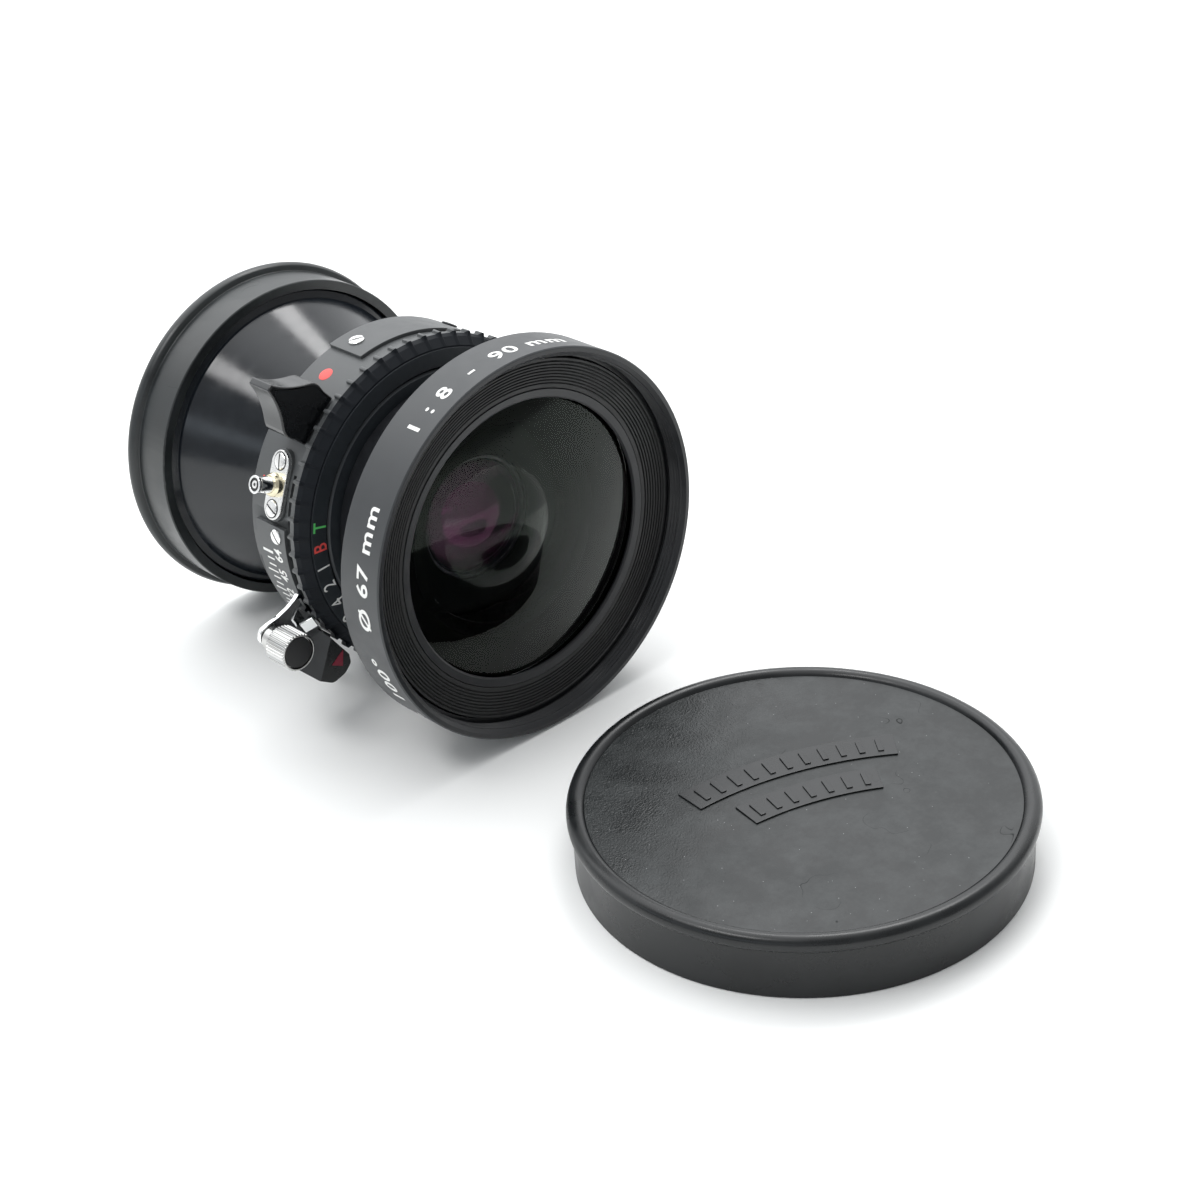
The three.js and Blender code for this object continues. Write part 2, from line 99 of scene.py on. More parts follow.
RIM_R, _, _ = reach("front_barrel")
HOUSING_R = 29.2
FLANGE = 44.1
SPEED_FACE = reach("speed_ring")[1]
RIB_R, _, RING_BACK = reach("speed_ring")
REAR_R, _, REAR_END = reach("rear_barrel")
REAR_BEAD_R, REAR_MOUTH, REAR_TOP = reach("rear_cap")
PLATE_R = reach("top_plate")[0]
SCALE_R = reach("aperture_scale_plate")[0]

CAP_LOW, CAP_HIGH = (corner / MM for corner in map(Vector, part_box("front_cap")))
CAP_R = (CAP_HIGH.x - CAP_LOW.x) / 2
CAP_HEIGHT = CAP_HIGH.z
CAP = Matrix.Translation(Vector(((CAP_LOW.x + CAP_HIGH.x) / 2, (CAP_LOW.y + CAP_HIGH.y) / 2, 0)) * MM)

# Angles of the fittings round the wall
FOCUS_LEVER = -42.2
SYNC_TERMINAL = -67.2
COCKING_KNOB = -109.7
RELEASE_TIP = -124
APERTURE_LEVER = -141
CABLE_SOCKET = 128

# -------- materials


def add_node(tree, kind, inputs=None, **settings):
    """A shader node. An input given as a socket is linked, any other is set."""
    made = tree.nodes.new(kind)
    for key, value in settings.items():
        setattr(made, key, value)
    for key, value in (inputs or {}).items():
        if isinstance(value, bpy.types.NodeSocket):
            tree.links.new(value, made.inputs[key])
        else:
            made.inputs[key].default_value = value
    return made


def place_of(tree):
    """The point on the piece, in millimetres."""
    coordinates = add_node(tree, "ShaderNodeTexCoord")
    return add_node(tree, "ShaderNodeVectorMath", {0: coordinates.outputs["Object"], 1: (1 / MM,) * 3},
                    operation="MULTIPLY").outputs[0]


def maths(tree, operation, a, b=0.0):
    return add_node(tree, "ShaderNodeMath", {0: a, 1: b}, operation=operation).outputs[0]


def dot(tree, a, b):
    return add_node(tree, "ShaderNodeVectorMath", {0: a, 1: b}, operation="DOT_PRODUCT").outputs["Value"]


def cells(tree, place, scale, feature="F1"):
    """Distance to the nearest of many scattered points."""
    return add_node(tree, "ShaderNodeTexVoronoi", {"Vector": place, "Scale": scale},
                    feature=feature).outputs["Distance"]


def noise(tree, place, scale, detail=2.0, rough=0.5):
    return add_node(tree, "ShaderNodeTexNoise", {
        "Vector": place, "Scale": scale, "Detail": detail, "Roughness": rough}).outputs["Fac"]


def spread(tree, value, low, high, to_low=0.0, to_high=1.0):
    return add_node(tree, "ShaderNodeMapRange", {
        "Value": value, "From Min": low, "From Max": high, "To Min": to_low, "To Max": to_high,
    }).outputs["Result"]


def mix(tree, share, a, b):
    made = add_node(tree, "ShaderNodeMix", data_type="RGBA")
    sockets = [s for s in made.inputs if s.type == "RGBA"]
    for socket, value in ((made.inputs[0], share), (sockets[0], a), (sockets[1], b)):
        if isinstance(value, bpy.types.NodeSocket):
            tree.links.new(value, socket)
        else:
            socket.default_value = (*value, 1) if socket.type == "RGBA" else value
    return next(s for s in made.outputs if s.type == "RGBA")


def turning(tree, place, per_mm):
    """Fine concentric lines, as a lathe leaves them on faces, walls and cones alike."""
    parts = add_node(tree, "ShaderNodeSeparateXYZ", {0: place})
    radius = maths(tree, "SQRT", maths(tree, "ADD", maths(tree, "POWER", parts.outputs[0], 2.0),
                                       maths(tree, "POWER", parts.outputs[1], 2.0)))
    along = maths(tree, "ADD", radius, maths(tree, "MULTIPLY", parts.outputs[2], -0.73))
    return add_node(tree, "ShaderNodeTexNoise", {
        "W": maths(tree, "MULTIPLY", along, per_mm), "Scale": 1.0, "Detail": 2.0,
    }, noise_dimensions="1D").outputs["Fac"]


def surface(name, slot, color, roughness, metallic=0.0, shine=0.5):
    """A Principled material. Returns it with its tree, its shader and the place socket."""
    made = bpy.data.materials.new(name)
    made.use_nodes = True
    made["slot"] = slot
    shader = made.node_tree.nodes["Principled BSDF"]
    shader.inputs["Base Color"].default_value = (*color, 1)
    shader.inputs["Roughness"].default_value = roughness
    shader.inputs["Metallic"].default_value = metallic
    shader.inputs["Specular IOR Level"].default_value = shine
    return made, made.node_tree, shader, place_of(made.node_tree)


def vary(tree, shader, color, roughness, cloud, amount=0.25, rough_amount=0.08):
    """Colour and roughness that drift a little with a slow noise. Returns both."""
    dark = tuple(c * (1 - amount) for c in color)
    light = tuple(min(1.0, c * (1 + amount)) for c in color)
    shade = mix(tree, cloud, dark, light)
    rough = spread(tree, cloud, 0.3, 0.7, roughness - rough_amount, roughness + rough_amount)
    tree.links.new(shade, shader.inputs["Base Color"])
    tree.links.new(rough, shader.inputs["Roughness"])
    return shade, rough


def bump(tree, shader, height, strength, distance_mm, under=None):
    inputs = {"Height": height, "Strength": strength, "Distance": distance_mm * MM}
    if under is not None:
        inputs["Normal"] = under
    normal = add_node(tree, "ShaderNodeBump", inputs).outputs["Normal"]
    tree.links.new(normal, shader.inputs["Normal"])
    return normal


def anodised(name, slot, color, roughness, grain=0.05, lines=0.0, shine=0.5):
    """Anodised aluminium: a fine etched grain over faint turning lines."""
    made, tree, shader, place = surface(name, slot, color, roughness, shine=shine)
    vary(tree, shader, color, roughness, noise(tree, place, 0.35, 4.0), 0.18, 0.05)
    normal = None
    if lines:
        normal = bump(tree, shader, turning(tree, place, 9.0), lines, 0.02)
    bump(tree, shader, noise(tree, place, 9.0, 3.0, 0.7), grain, 0.03, normal)
    return made


def chromed(name, slot, color, roughness):
    made, tree, shader, place = surface(name, slot, color, roughness, 1.0)
    vary(tree, shader, color, roughness, noise(tree, place, 1.2, 5.0), 0.05, 0.07)
    bump(tree, shader, noise(tree, place, 14.0, 2.0), 0.04, 0.02)
    return made


def plastic(name, slot, color, roughness, grain=0.0, specks=0.0, scuffs=0.0, film=0.0, shine=0.5):
    """Moulded plastic. grain is the depth of a leather texture in millimetres, film a dusty haze."""
    made, tree, shader, place = surface(name, slot, color, roughness, shine=shine)
    cloud = spread(tree, noise(tree, place, 0.09, 5.0, 0.6), 0.3, 0.7)
    shade, rough = vary(tree, shader, color, roughness, cloud, 0.35, 0.06)
    if film:
        haze = spread(tree, noise(tree, place, 0.16, 6.0, 0.72), 0.42, 0.72)
        shade = mix(tree, maths(tree, "MULTIPLY", haze, film), shade, (0.060, 0.066, 0.067))
    if scuffs:
        # Thin curved scratches: where a slow noise crosses one value, inside patches.
        drift = noise(tree, place, 0.045, 3.0, 0.55)
        line = maths(tree, "ABSOLUTE", maths(tree, "SUBTRACT", drift, 0.55))
        scratch = spread(tree, line, 0.0, 0.0016, 1.0, 0.0)
        patch = spread(tree, noise(tree, place, 0.13, 1.0), 0.55, 0.62)
        scratched = maths(tree, "MULTIPLY", maths(tree, "MULTIPLY", scratch, patch), scuffs)
        shade = mix(tree, scratched, shade, tuple(c * 0.35 for c in color))
        dull = maths(tree, "ADD", rough, maths(tree, "MULTIPLY", scratched, 0.5))
        tree.links.new(dull, shader.inputs["Roughness"])
    if specks:
        dust = spread(tree, cells(tree, place, 0.6), 0.035, 0.05, 1.0, 0.0)
        shade = mix(tree, maths(tree, "MULTIPLY", dust, specks), shade, (0.35, 0.36, 0.36))
    tree.links.new(shade, shader.inputs["Base Color"])
    if grain:
        drift = add_node(tree, "ShaderNodeTexNoise", {"Vector": place, "Scale": 1.1, "Detail": 2.0})
        wobble = add_node(tree, "ShaderNodeVectorMath", {0: place, 1: drift.outputs["Color"]}).outputs[0]
        # The grain is worn away except on the side that this direction points to.
        kept = maths(tree, "ADD", dot(tree, place, (-0.010, 0.012, 0)), noise(tree, place, 0.03, 2.0))
        kept = spread(tree, kept, 0.35, 0.85)
        pits = cells(tree, wobble, 3.2, "SMOOTH_F1")
        bump(tree, shader, maths(tree, "MULTIPLY", pits, kept), 0.9, grain)
    else:
        bump(tree, shader, noise(tree, place, 5.0, 4.0, 0.65), 0.08, 0.04)
    return made


def coated_glass(name, index, coating, clear=(0.985, 0.99, 0.98)):
    """Optical glass. coating is the share of each colour that the coated surface still reflects; clear is
    the colour that it lets through, darkened on the inner glass as painted shade.
    """
    made, tree, shader, place = surface(name, "coated_glass", clear, 0.0)
    shader.inputs["Transmission Weight"].default_value = 1.0
    shader.inputs["IOR"].default_value = index
    shader.inputs["Specular Tint"].default_value = (*coating, 1)
    dust = spread(tree, cells(tree, place, 0.55), 0.03, 0.05, 1.0, 0.0)
    tree.links.new(mix(tree, dust, clear, (0.55, 0.56, 0.56)), shader.inputs["Base Color"])
    return made


def paint(name, slot, color, shine=0.5):
    roughness = 0.5
    made, tree, shader, place = surface(name, slot, color, roughness, shine=shine)
    vary(tree, shader, color, roughness, noise(tree, place, 2.5, 3.0), 0.08, 0.08)
    return made


BAND = anodised("band_anodised", "satin_black_barrel", (0.034, 0.037, 0.040), 0.42, 0.10)
SATIN = anodised("satin_anodised", "satin_black_barrel", (0.010, 0.011, 0.013), 0.34, 0.06, 0.10)
DEEP = anodised("deep_black_anodised", "satin_black_barrel", (0.0055, 0.007, 0.0085), 0.45,
                shine=0.35)
MATT = anodised("matt_black_inside", "matt_black_inside", (0.006, 0.0065, 0.007), 0.5, 0.1)
WELL = anodised("flocked_inside", "matt_black_inside", (0.003, 0.0032, 0.0035), 0.7, 0.1,
                shine=0.05)
RING_BLACK = anodised("speed_ring_black", "satin_black_barrel", (0.009, 0.011, 0.014), 0.6,
                      shine=0.12)
# A lighter copy of the ring's black for its front face and the retainer inside it: painted light where the
# front barrel shades them.
SPEED_FACE_PAINTED_LIGHT = anodised("speed_face_painted_light", "satin_black_barrel", (0.020, 0.025, 0.030), 0.5, 0.05)
GREY = anodised("grey_housing", "grey_housing", (0.066, 0.070, 0.072), 0.45, 0.35)
GLOSS = anodised("gloss_black_barrel", "gloss_black_barrel", (0.0095, 0.012, 0.0155), 0.16, 0.02, 0.15)
CHROME = chromed("satin_chrome", "bright_chrome", (0.80, 0.80, 0.79), 0.27)
KNURLED = chromed("knurled_chrome", "bright_chrome", (0.52, 0.52, 0.51), 0.20)
POLISHED = chromed("polished_chrome", "bright_chrome", (0.88, 0.89, 0.89), 0.07)
STEEL = chromed("blade_steel", "blade_steel", (0.018, 0.018, 0.020), 0.38)
BRASS = chromed("turned_brass", "brass_parts", (0.78, 0.71, 0.52), 0.22)
LEVER = plastic("lever_plastic", "black_plastic", (0.007, 0.008, 0.009), 0.27)
# A lighter copy of the lever plastic: painted light on the lit faces of the release tip.
LEVER_PAINTED_LIGHT = plastic("lever_plastic_painted_light", "black_plastic", (0.026, 0.028, 0.030), 0.3)
# A lighter copy of the lever plastic: painted sheen for the lit flanks of the focus lever.
LEVER_PAINTED_SHEEN = plastic("lever_plastic_painted_sheen", "black_plastic", (0.024, 0.026, 0.028), 0.19)
INSERT = plastic("insert_plastic", "black_plastic", (0.012, 0.012, 0.013), 0.5)
CAP_SMOOTH = plastic("cap_plastic_smooth", "cap_plastic", (0.008, 0.0092, 0.010), 0.32,
                     scuffs=0.3, shine=0.42)
CAP_GRAIN = plastic("cap_plastic_grain", "cap_plastic", (0.008, 0.010, 0.0105), 0.37,
                    grain=0.06, specks=0.8, scuffs=1.0, film=0.42, shine=0.36)
REAR_PLASTIC = plastic("rear_cap_plastic", "cap_plastic", (0.018, 0.021, 0.022), 0.34, scuffs=0.8)
FRONT_GLASS = coated_glass("front_glass", 1.45, (0.30, 0.36, 0.31))
# The inner glass lets through under half the light: painted shade that darkens the lens's inside seen
# through it.
INNER_GLASS = coated_glass("inner_glass", 1.5, (0.60, 0.06, 0.38), (0.42, 0.43, 0.43))
EDGE_BLACK = paint("lens_edge_paint", "coated_glass", (0.003, 0.003, 0.003), 0.0)
IRIS = anodised("iris_black", "iris_black", (0.014, 0.014, 0.015), 0.5, 0.05)
WHITE = paint("white_paint", "grey_housing", (0.80, 0.80, 0.78))
RED = paint("red_paint", "grey_housing", (0.80, 0.09, 0.08))
GREEN = paint("green_paint", "grey_housing", (0.12, 0.62, 0.16))
DARK_RED = paint("dark_red_paint", "black_plastic", (0.27, 0.014, 0.040))

# -------- mesh helpers


def rounded(outline, fillet, closed=True, steps=3):
    """An outline with its corners rounded. A third value on a point is that corner's own radius."""
    points = [Vector(p[:2]) for p in outline]
    result = []
    for i, here in enumerate(points):
        radius = outline[i][2] if len(outline[i]) > 2 else fillet
        if not closed and i in (0, len(points) - 1):
            result.append(here)
            continue
        before, after = points[i - 1] - here, points[(i + 1) % len(points)] - here
        bend = math.pi - before.angle(after)
        if bend < math.radians(9) or radius == 0:
            result.append(here)
            continue
        back = min(radius * math.tan(bend / 2), 0.45 * before.length, 0.45 * after.length)
        start, end = here + before.normalized() * back, here + after.normalized() * back
        for step in range(steps + 1):
            u = step / steps
            result.append(start * (1 - u) ** 2 + here * 2 * u * (1 - u) + end * u ** 2)
    return [(p.x, p.y) for p in result]


def own(obj, body, look, nodes=()):
    """Gives a piece its body, its finish and the CAD nodes that it stands for."""
    if look is not None and not obj.data.materials:
        obj.data.materials.append(look)
    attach(obj, body)
    if nodes:
        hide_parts(*nodes)
    return obj


def new_object(name, mesh, place=LENS, sharp=38):
    mesh.polygons.foreach_set("use_smooth", [True] * len(mesh.polygons))
    mesh.set_sharp_from_angle(angle=math.radians(sharp))
    obj = bpy.data.objects.new(name, mesh)
    bpy.context.scene.collection.objects.link(obj)
    obj.matrix_world = place
    weighted = obj.modifiers.new("weighted", "WEIGHTED_NORMAL")
    weighted.keep_sharp = True
    return obj


def from_bmesh(name, bm, place=LENS, sharp=38):
    """bm is in millimetres."""
    bmesh.ops.remove_doubles(bm, verts=bm.verts, dist=1e-5)
    bmesh.ops.recalc_face_normals(bm, faces=bm.faces)
    bmesh.ops.scale(bm, vec=(MM,) * 3, verts=bm.verts)
    mesh = bpy.data.meshes.new(name)
    bm.to_mesh(mesh)
    bm.free()
    return new_object(name, mesh, place, sharp)


def turned(name, profile, fillet=0.08, segments=192, place=LENS, angles=None, shape=None, sharp=38):
    """A solid of revolution from [radius, depth] points. shape may move the points by angle."""
    closed = profile[0][0] > 0
    section = np.array(rounded(profile, fillet, closed))
    if angles is None:
        angles = np.linspace(0, 2 * math.pi, segments, endpoint=False)
    angle = np.asarray(angles)[:, None]
    radius, depth = (np.repeat(section[None, :, k], len(angles), 0) for k in (0, 1))
    if shape:
        radius, depth = shape(radius, depth, angle)
    points = np.stack([radius * np.sin(angle), radius * np.cos(angle), -depth], -1)
    rows, columns = radius.shape
    index = np.arange(rows * columns).reshape(rows, columns)
    last = columns if closed else columns - 1
    here, there = index, np.roll(index, -1, 0)
    faces = [quad for j in range(last) for quad in zip(
        here[:, j], there[:, j], there[:, (j + 1) % columns], here[:, (j + 1) % columns])]
    mesh = bpy.data.meshes.new(name)
    mesh.from_pydata(points.reshape(-1, 3).tolist(), [], [list(map(int, f)) for f in faces])
    bm = bmesh.new()
    bm.from_mesh(mesh)
    bpy.data.meshes.remove(mesh)
    return from_bmesh(name, bm, place, sharp)


def polar(radius, angle):
    return radius * math.sin(math.radians(angle)), radius * math.cos(math.radians(angle))


def arc(radius, start, end, step=2.0):
    count = max(1, math.ceil(abs(end - start) / step))
    return [polar(radius, start + (end - start) * i / count) for i in range(count + 1)]


def circle(radius, count=48, centre=(0, 0)):
    return [(centre[0] + radius * math.cos(2 * math.pi * i / count),
             centre[1] + radius * math.sin(2 * math.pi * i / count)) for i in range(count)]


def rectangle(x0, y0, x1, y1):
    return [(x0, y0), (x1, y0), (x1, y1), (x0, y1)]


def stadium(length, width, count=10):
    reach_x, half = (length - width) / 2, width / 2
    return [(side_sign * (reach_x + half * math.cos(a)), side_sign * half * math.sin(a))
            for side_sign in (1, -1) for a in (math.pi * (i / count - 0.5) for i in range(count + 1))]


def extruded(outline, low, high, bevel=0.1, segments=3, limit=25):
    """A bmesh of an XY outline between two heights, with its sharp edges rounded."""
    bm = bmesh.new()
    face = bm.faces.new([bm.verts.new((x, y, low)) for x, y in outline])
    lifted = bmesh.ops.extrude_face_region(bm, geom=[face])["geom"]
    bmesh.ops.translate(bm, vec=(0, 0, high - low),
                        verts=[v for v in lifted if isinstance(v, bmesh.types.BMVert)])
    bmesh.ops.recalc_face_normals(bm, faces=bm.faces)
    round_edges(bm, bevel, segments, limit)
    return bm


def round_edges(bm, bevel, segments=3, limit=25):
    if bevel:
        edges = [e for e in bm.edges
                 if len(e.link_faces) == 2 and e.calc_face_angle() > math.radians(limit)]
        bmesh.ops.bevel(bm, geom=edges, offset=bevel, offset_type="OFFSET", segments=segments,
                        profile=0.5, affect="EDGES", clamp_overlap=True)


def flat_part(name, outline, front, back, bevel=0.1, place=LENS, segments=3, limit=25):
    """A plate in the lens frame between two depths."""
    return from_bmesh(name, extruded(outline, -back, -front, bevel, segments, limit), place)


def pillow(outline, low, high, bevel, steps=4):
    """Like extruded, with edges rounded by offsetting the outline, which suits finely drawn curves."""
    points = [Vector(p) for p in outline]
    area = sum(a.x * b.y - b.x * a.y for a, b in zip(points, points[1:] + points[:1]))
    inward = []
    for i, here in enumerate(points):
        before, after = points[i - 1], points[(i + 1) % len(points)]
        along = [(here - before).normalized(), (after - here).normalized()]
        normals = [Vector((-v.y, v.x)) * math.copysign(1, area) for v in along]
        middle = (normals[0] + normals[1]).normalized()
        inward.append(middle / max(0.6, middle.dot(normals[0])))
    turns = [math.pi / 2 * k / steps for k in range(steps + 1)]
    levels = [(bevel * (1 - math.sin(t)), low + bevel * (1 - math.cos(t))) for t in turns]
    levels += [(bevel * (1 - math.sin(t)), high - bevel * (1 - math.cos(t))) for t in reversed(turns)]
    bm = bmesh.new()
    rings = [[bm.verts.new((*(p + n * inset), z)) for p, n in zip(points, inward)] for inset, z in levels]
    bm.faces.new(rings[0])
    bm.faces.new(rings[-1])
    for lower, upper in zip(rings, rings[1:]):
        for i in range(len(points)):
            j = (i + 1) % len(points)
            bm.faces.new((lower[i], lower[j], upper[j], upper[i]))
    return bm


def bent(bm, radius, angle, depth, step=0.8):
    """Wraps a flat bmesh round the axis: X becomes arc length and Y depth."""
    low = min(v.co.x for v in bm.verts)
    high = max(v.co.x for v in bm.verts)
    for i in range(1, math.ceil((high - low) / step)):
        geometry = bm.verts[:] + bm.edges[:] + bm.faces[:]
        bmesh.ops.bisect_plane(bm, geom=geometry, plane_co=(low + i * step, 0, 0),
                               plane_no=(1, 0, 0))
    for v in bm.verts:
        x, y = polar(radius + v.co.z, angle + math.degrees(v.co.x / radius))
        v.co = (x, y, -(depth + v.co.y))
    return bm


def final_mesh(obj):
    """A copy of the mesh with the object's modifiers applied."""
    bpy.context.view_layer.update()
    return bpy.data.meshes.new_from_object(obj.evaluated_get(bpy.context.evaluated_depsgraph_get()))


def cut(obj, *tools, operation="DIFFERENCE"):
    """Cuts other objects out of one, and removes them."""
    for tool in tools:
        obj.modifiers.clear()
        modifier = obj.modifiers.new("cut", "BOOLEAN")
        modifier.operation, modifier.solver, modifier.object = operation, "EXACT", tool
        mesh = final_mesh(obj)
        obj.modifiers.clear()
        obj.data = mesh
        bpy.data.objects.remove(tool)
    obj.data.set_sharp_from_angle(angle=math.radians(30))
    obj.modifiers.new("weighted", "WEIGHTED_NORMAL").keep_sharp = True
    return obj


def second_look(obj, look, chosen):
    """Another material for the faces whose radius and centre, in mm, pass the test."""
    obj.data.materials.append(look)
    index = len(obj.data.materials) - 1
    for polygon in obj.data.polygons:
        centre = polygon.center / MM
        if chosen(math.hypot(centre.x, centre.y), centre):
            polygon.material_index = index


def letters(text, height, narrow=1.0, heavy=0.0, spacing=1.0, thick=0.03):
    """A bmesh of raised characters, centred on the origin."""
    curve = bpy.data.curves.new("letters", "FONT")
    curve.body = text
    curve.align_x = "CENTER"
    curve.size = height / 0.729
    curve.extrude = thick
    curve.offset = heavy
    curve.space_character = spacing
    curve.resolution_u = 6
    holder = bpy.data.objects.new("letters", curve)
    bpy.context.scene.collection.objects.link(holder)
    mesh = final_mesh(holder)
    bpy.data.objects.remove(holder)
    bm = bmesh.new()
    bm.from_mesh(mesh)
    bmesh.ops.remove_doubles(bm, verts=bm.verts, dist=1e-4)
    for v in bm.verts:
        v.co = (v.co.x * narrow, v.co.y - height / 2, v.co.z)
    return bm


def merged(name, parts, place=LENS):
    """One object from several bmeshes in millimetres."""
    whole = bmesh.new()
    for bm in parts:
        mesh = bpy.data.meshes.new("part")
        bm.to_mesh(mesh)
        bm.free()
        whole.from_mesh(mesh)
        bpy.data.meshes.remove(mesh)
    return from_bmesh(name, whole, place)


def dome(vertex, rim_r, rim_depth, steps=24):
    """[radius, depth] points of a spherical surface from the axis to its rim."""
    sag = rim_depth - vertex
    radius = (rim_r * rim_r + sag * sag) / (2 * sag)
    return [(r, vertex + math.copysign(abs(radius) - math.sqrt(radius * radius - r * r), sag))
            for r in (rim_r * i / steps for i in range(steps + 1))]


# -------- front cell

FILTER_R = 33.4
THREAD_PITCH = 0.75
THREAD_DEPTH = 0.36
GLASS_R = 26.4


def front_barrel():
    front, back = 0.6, 3.9
    thread = [(FILTER_R, back - 0.05 * i, 0) for i in range(1, 66)]
    profile = [
        (34.05, 0, 0.05), (34.75, 0, 0.08), (RIM_R, 0.25, 0.1), (RIM_R, 9.95, 0.12),
        (RIM_R - 0.15, 10.1, 0.1), (33, 10.1, 0.3), (22.6, 24.2, 0.4), (22.6, 26.9), (14.7, 26.9),
        (14.7, 32.2), (13.1, 32.2), (13.1, 22.9), (19.8, 22.9), (19.8, 21.5), (26.7, 11.2),
        (26.7, 7.5), (32.45, 7.5), (32.45, back), (33.3, back), *thread, (FILTER_R, front, 0.05)]

    def helix(radius, depth, angle):
        inside = (np.abs(radius - FILTER_R) < 0.02) & (depth > front) & (depth < back)
        turn = (depth / THREAD_PITCH + angle / (2 * math.pi)) % 1.0
        ridge = 1 - np.abs(2 * turn - 1)
        shade_falloff = np.clip(np.minimum(depth - front, back - depth) / 0.35, 0, 1)
        return np.where(inside, radius - THREAD_DEPTH * ridge * shade_falloff, radius), depth

    barrel = turned("front_barrel_fine", profile, 0.1, 256, shape=helix)
    own(barrel, "lens", SATIN, ["front_barrel"])
    second_look(barrel, BAND, lambda r, p: r > RIM_R - 0.18 and p.z > -10.05)
    marks = merged("band_marks", [
        bent(letters(text, 2.9, 1.3, 0.07, 1.12), RIM_R + 0.01, angle, 4.3)
        for text, angle in (("1 : 8  -  90 mm", -8), ("Ø 67 mm", -76), ("-  100°", -117))
    ])
    own(marks, "lens", WHITE)


def baffle():
    """The ring of steps round the glass, with its spanner notch."""
    steps, inner, outer = 8, 27.3, 31.7
    width = (outer - inner) / steps
    grooves = []
    for i in range(steps):
        r, depth = inner + i * width, 4.0 - 0.09 * i
        grooves += [(r, depth, 0.05), (r + 0.5 * width, depth, 0.05),
                    (r + 0.62 * width, depth + 0.26, 0.03), (r + 0.9 * width, depth + 0.2, 0.03)]
    profile = [(26.82, 4.3), (26.82, 4.05, 0.05), *grooves, (outer + 0.1, 3.2), (32.2, 3.2),
               (32.2, 7.2), (26.82, 7.2)]
    ring = turned("baffle_ring_fine", profile, 0.05, 224)
    notch = from_bmesh("notch", extruded(rectangle(-0.5, -1, 0.5, 0.2), 31.9, 33, 0), side(72, 3.4))
    own(cut(ring, notch), "lens", MATT, ["baffle_ring"])
    retaining = turned("front_retaining_ring_fine", [
        (25.1, 4.35, 0.1), (25.4, 4.1, 0.1), (26.72, 3.9, 0.12), (26.72, 4.75), (25.1, 4.75)], 0.08, 192)
    own(retaining, "lens", SATIN, ["front_retaining_ring"])


def lens_element(name, profile, look, ground=None, nodes=()):
    """A piece of glass. Its edge and the ground faces that the test finds are painted black."""
    element = turned(name + "_fine", profile, 0.12, 128, sharp=25)
    own(element, "lens", look, nodes or [name])
    widest = max(r for r, _ in profile)
    second_look(element, EDGE_BLACK,
                lambda r, p: r > widest - 0.02 or bool(ground and ground(r, -p.z)))


def front_glass():
    lens_element("front_meniscus", [
        *dome(1.9, GLASS_R, 5.45), (GLASS_R, 10.5), *reversed(dome(5.2, 18.6, 14.2))], FRONT_GLASS,
        lambda r, depth: r > 18.6 and depth > 10.5)
    # The cemented pair looks like one piece.
    lens_element("front_doublet", [*dome(19.4, 12.9, 24.4), (12.9, 30.5), (0, 30.5)], INNER_GLASS,
                 nodes=["front_doublet_outer", "front_doublet_inner"])
    spacer = turned("front_spacer_fine", [
        (25.5, 12), (24, 12), (19.3, 14.4), (13.7, 21.4), (13.7, 22.6), (18.9, 22.6), (25.5, 12.6)],
        0.1, 160)
    own(spacer, "lens", WELL, ["front_spacer"])
    retainer = turned("front_cell_retainer_fine", [
        (11.2, 30.8), (12.85, 30.8), (12.85, 31.9), (11.2, 31.9)], 0.1, 96)
    own(retainer, "lens", WELL, ["front_cell_retainer"])


# -------- shutter

RIBS = 58
SPEEDS = ["T", "B", "1", "2", "4", "8", "15", "30", "60", "125", "250", "500"]
STOPS = ["64", "45", "32", "22", "16", "11", "8"]
# Angles of the first mark and between two marks
SPEED_START, SPEED_STEP = -78.0, 8.33
STOP_START, STOP_STEP = -93.8, 7.9


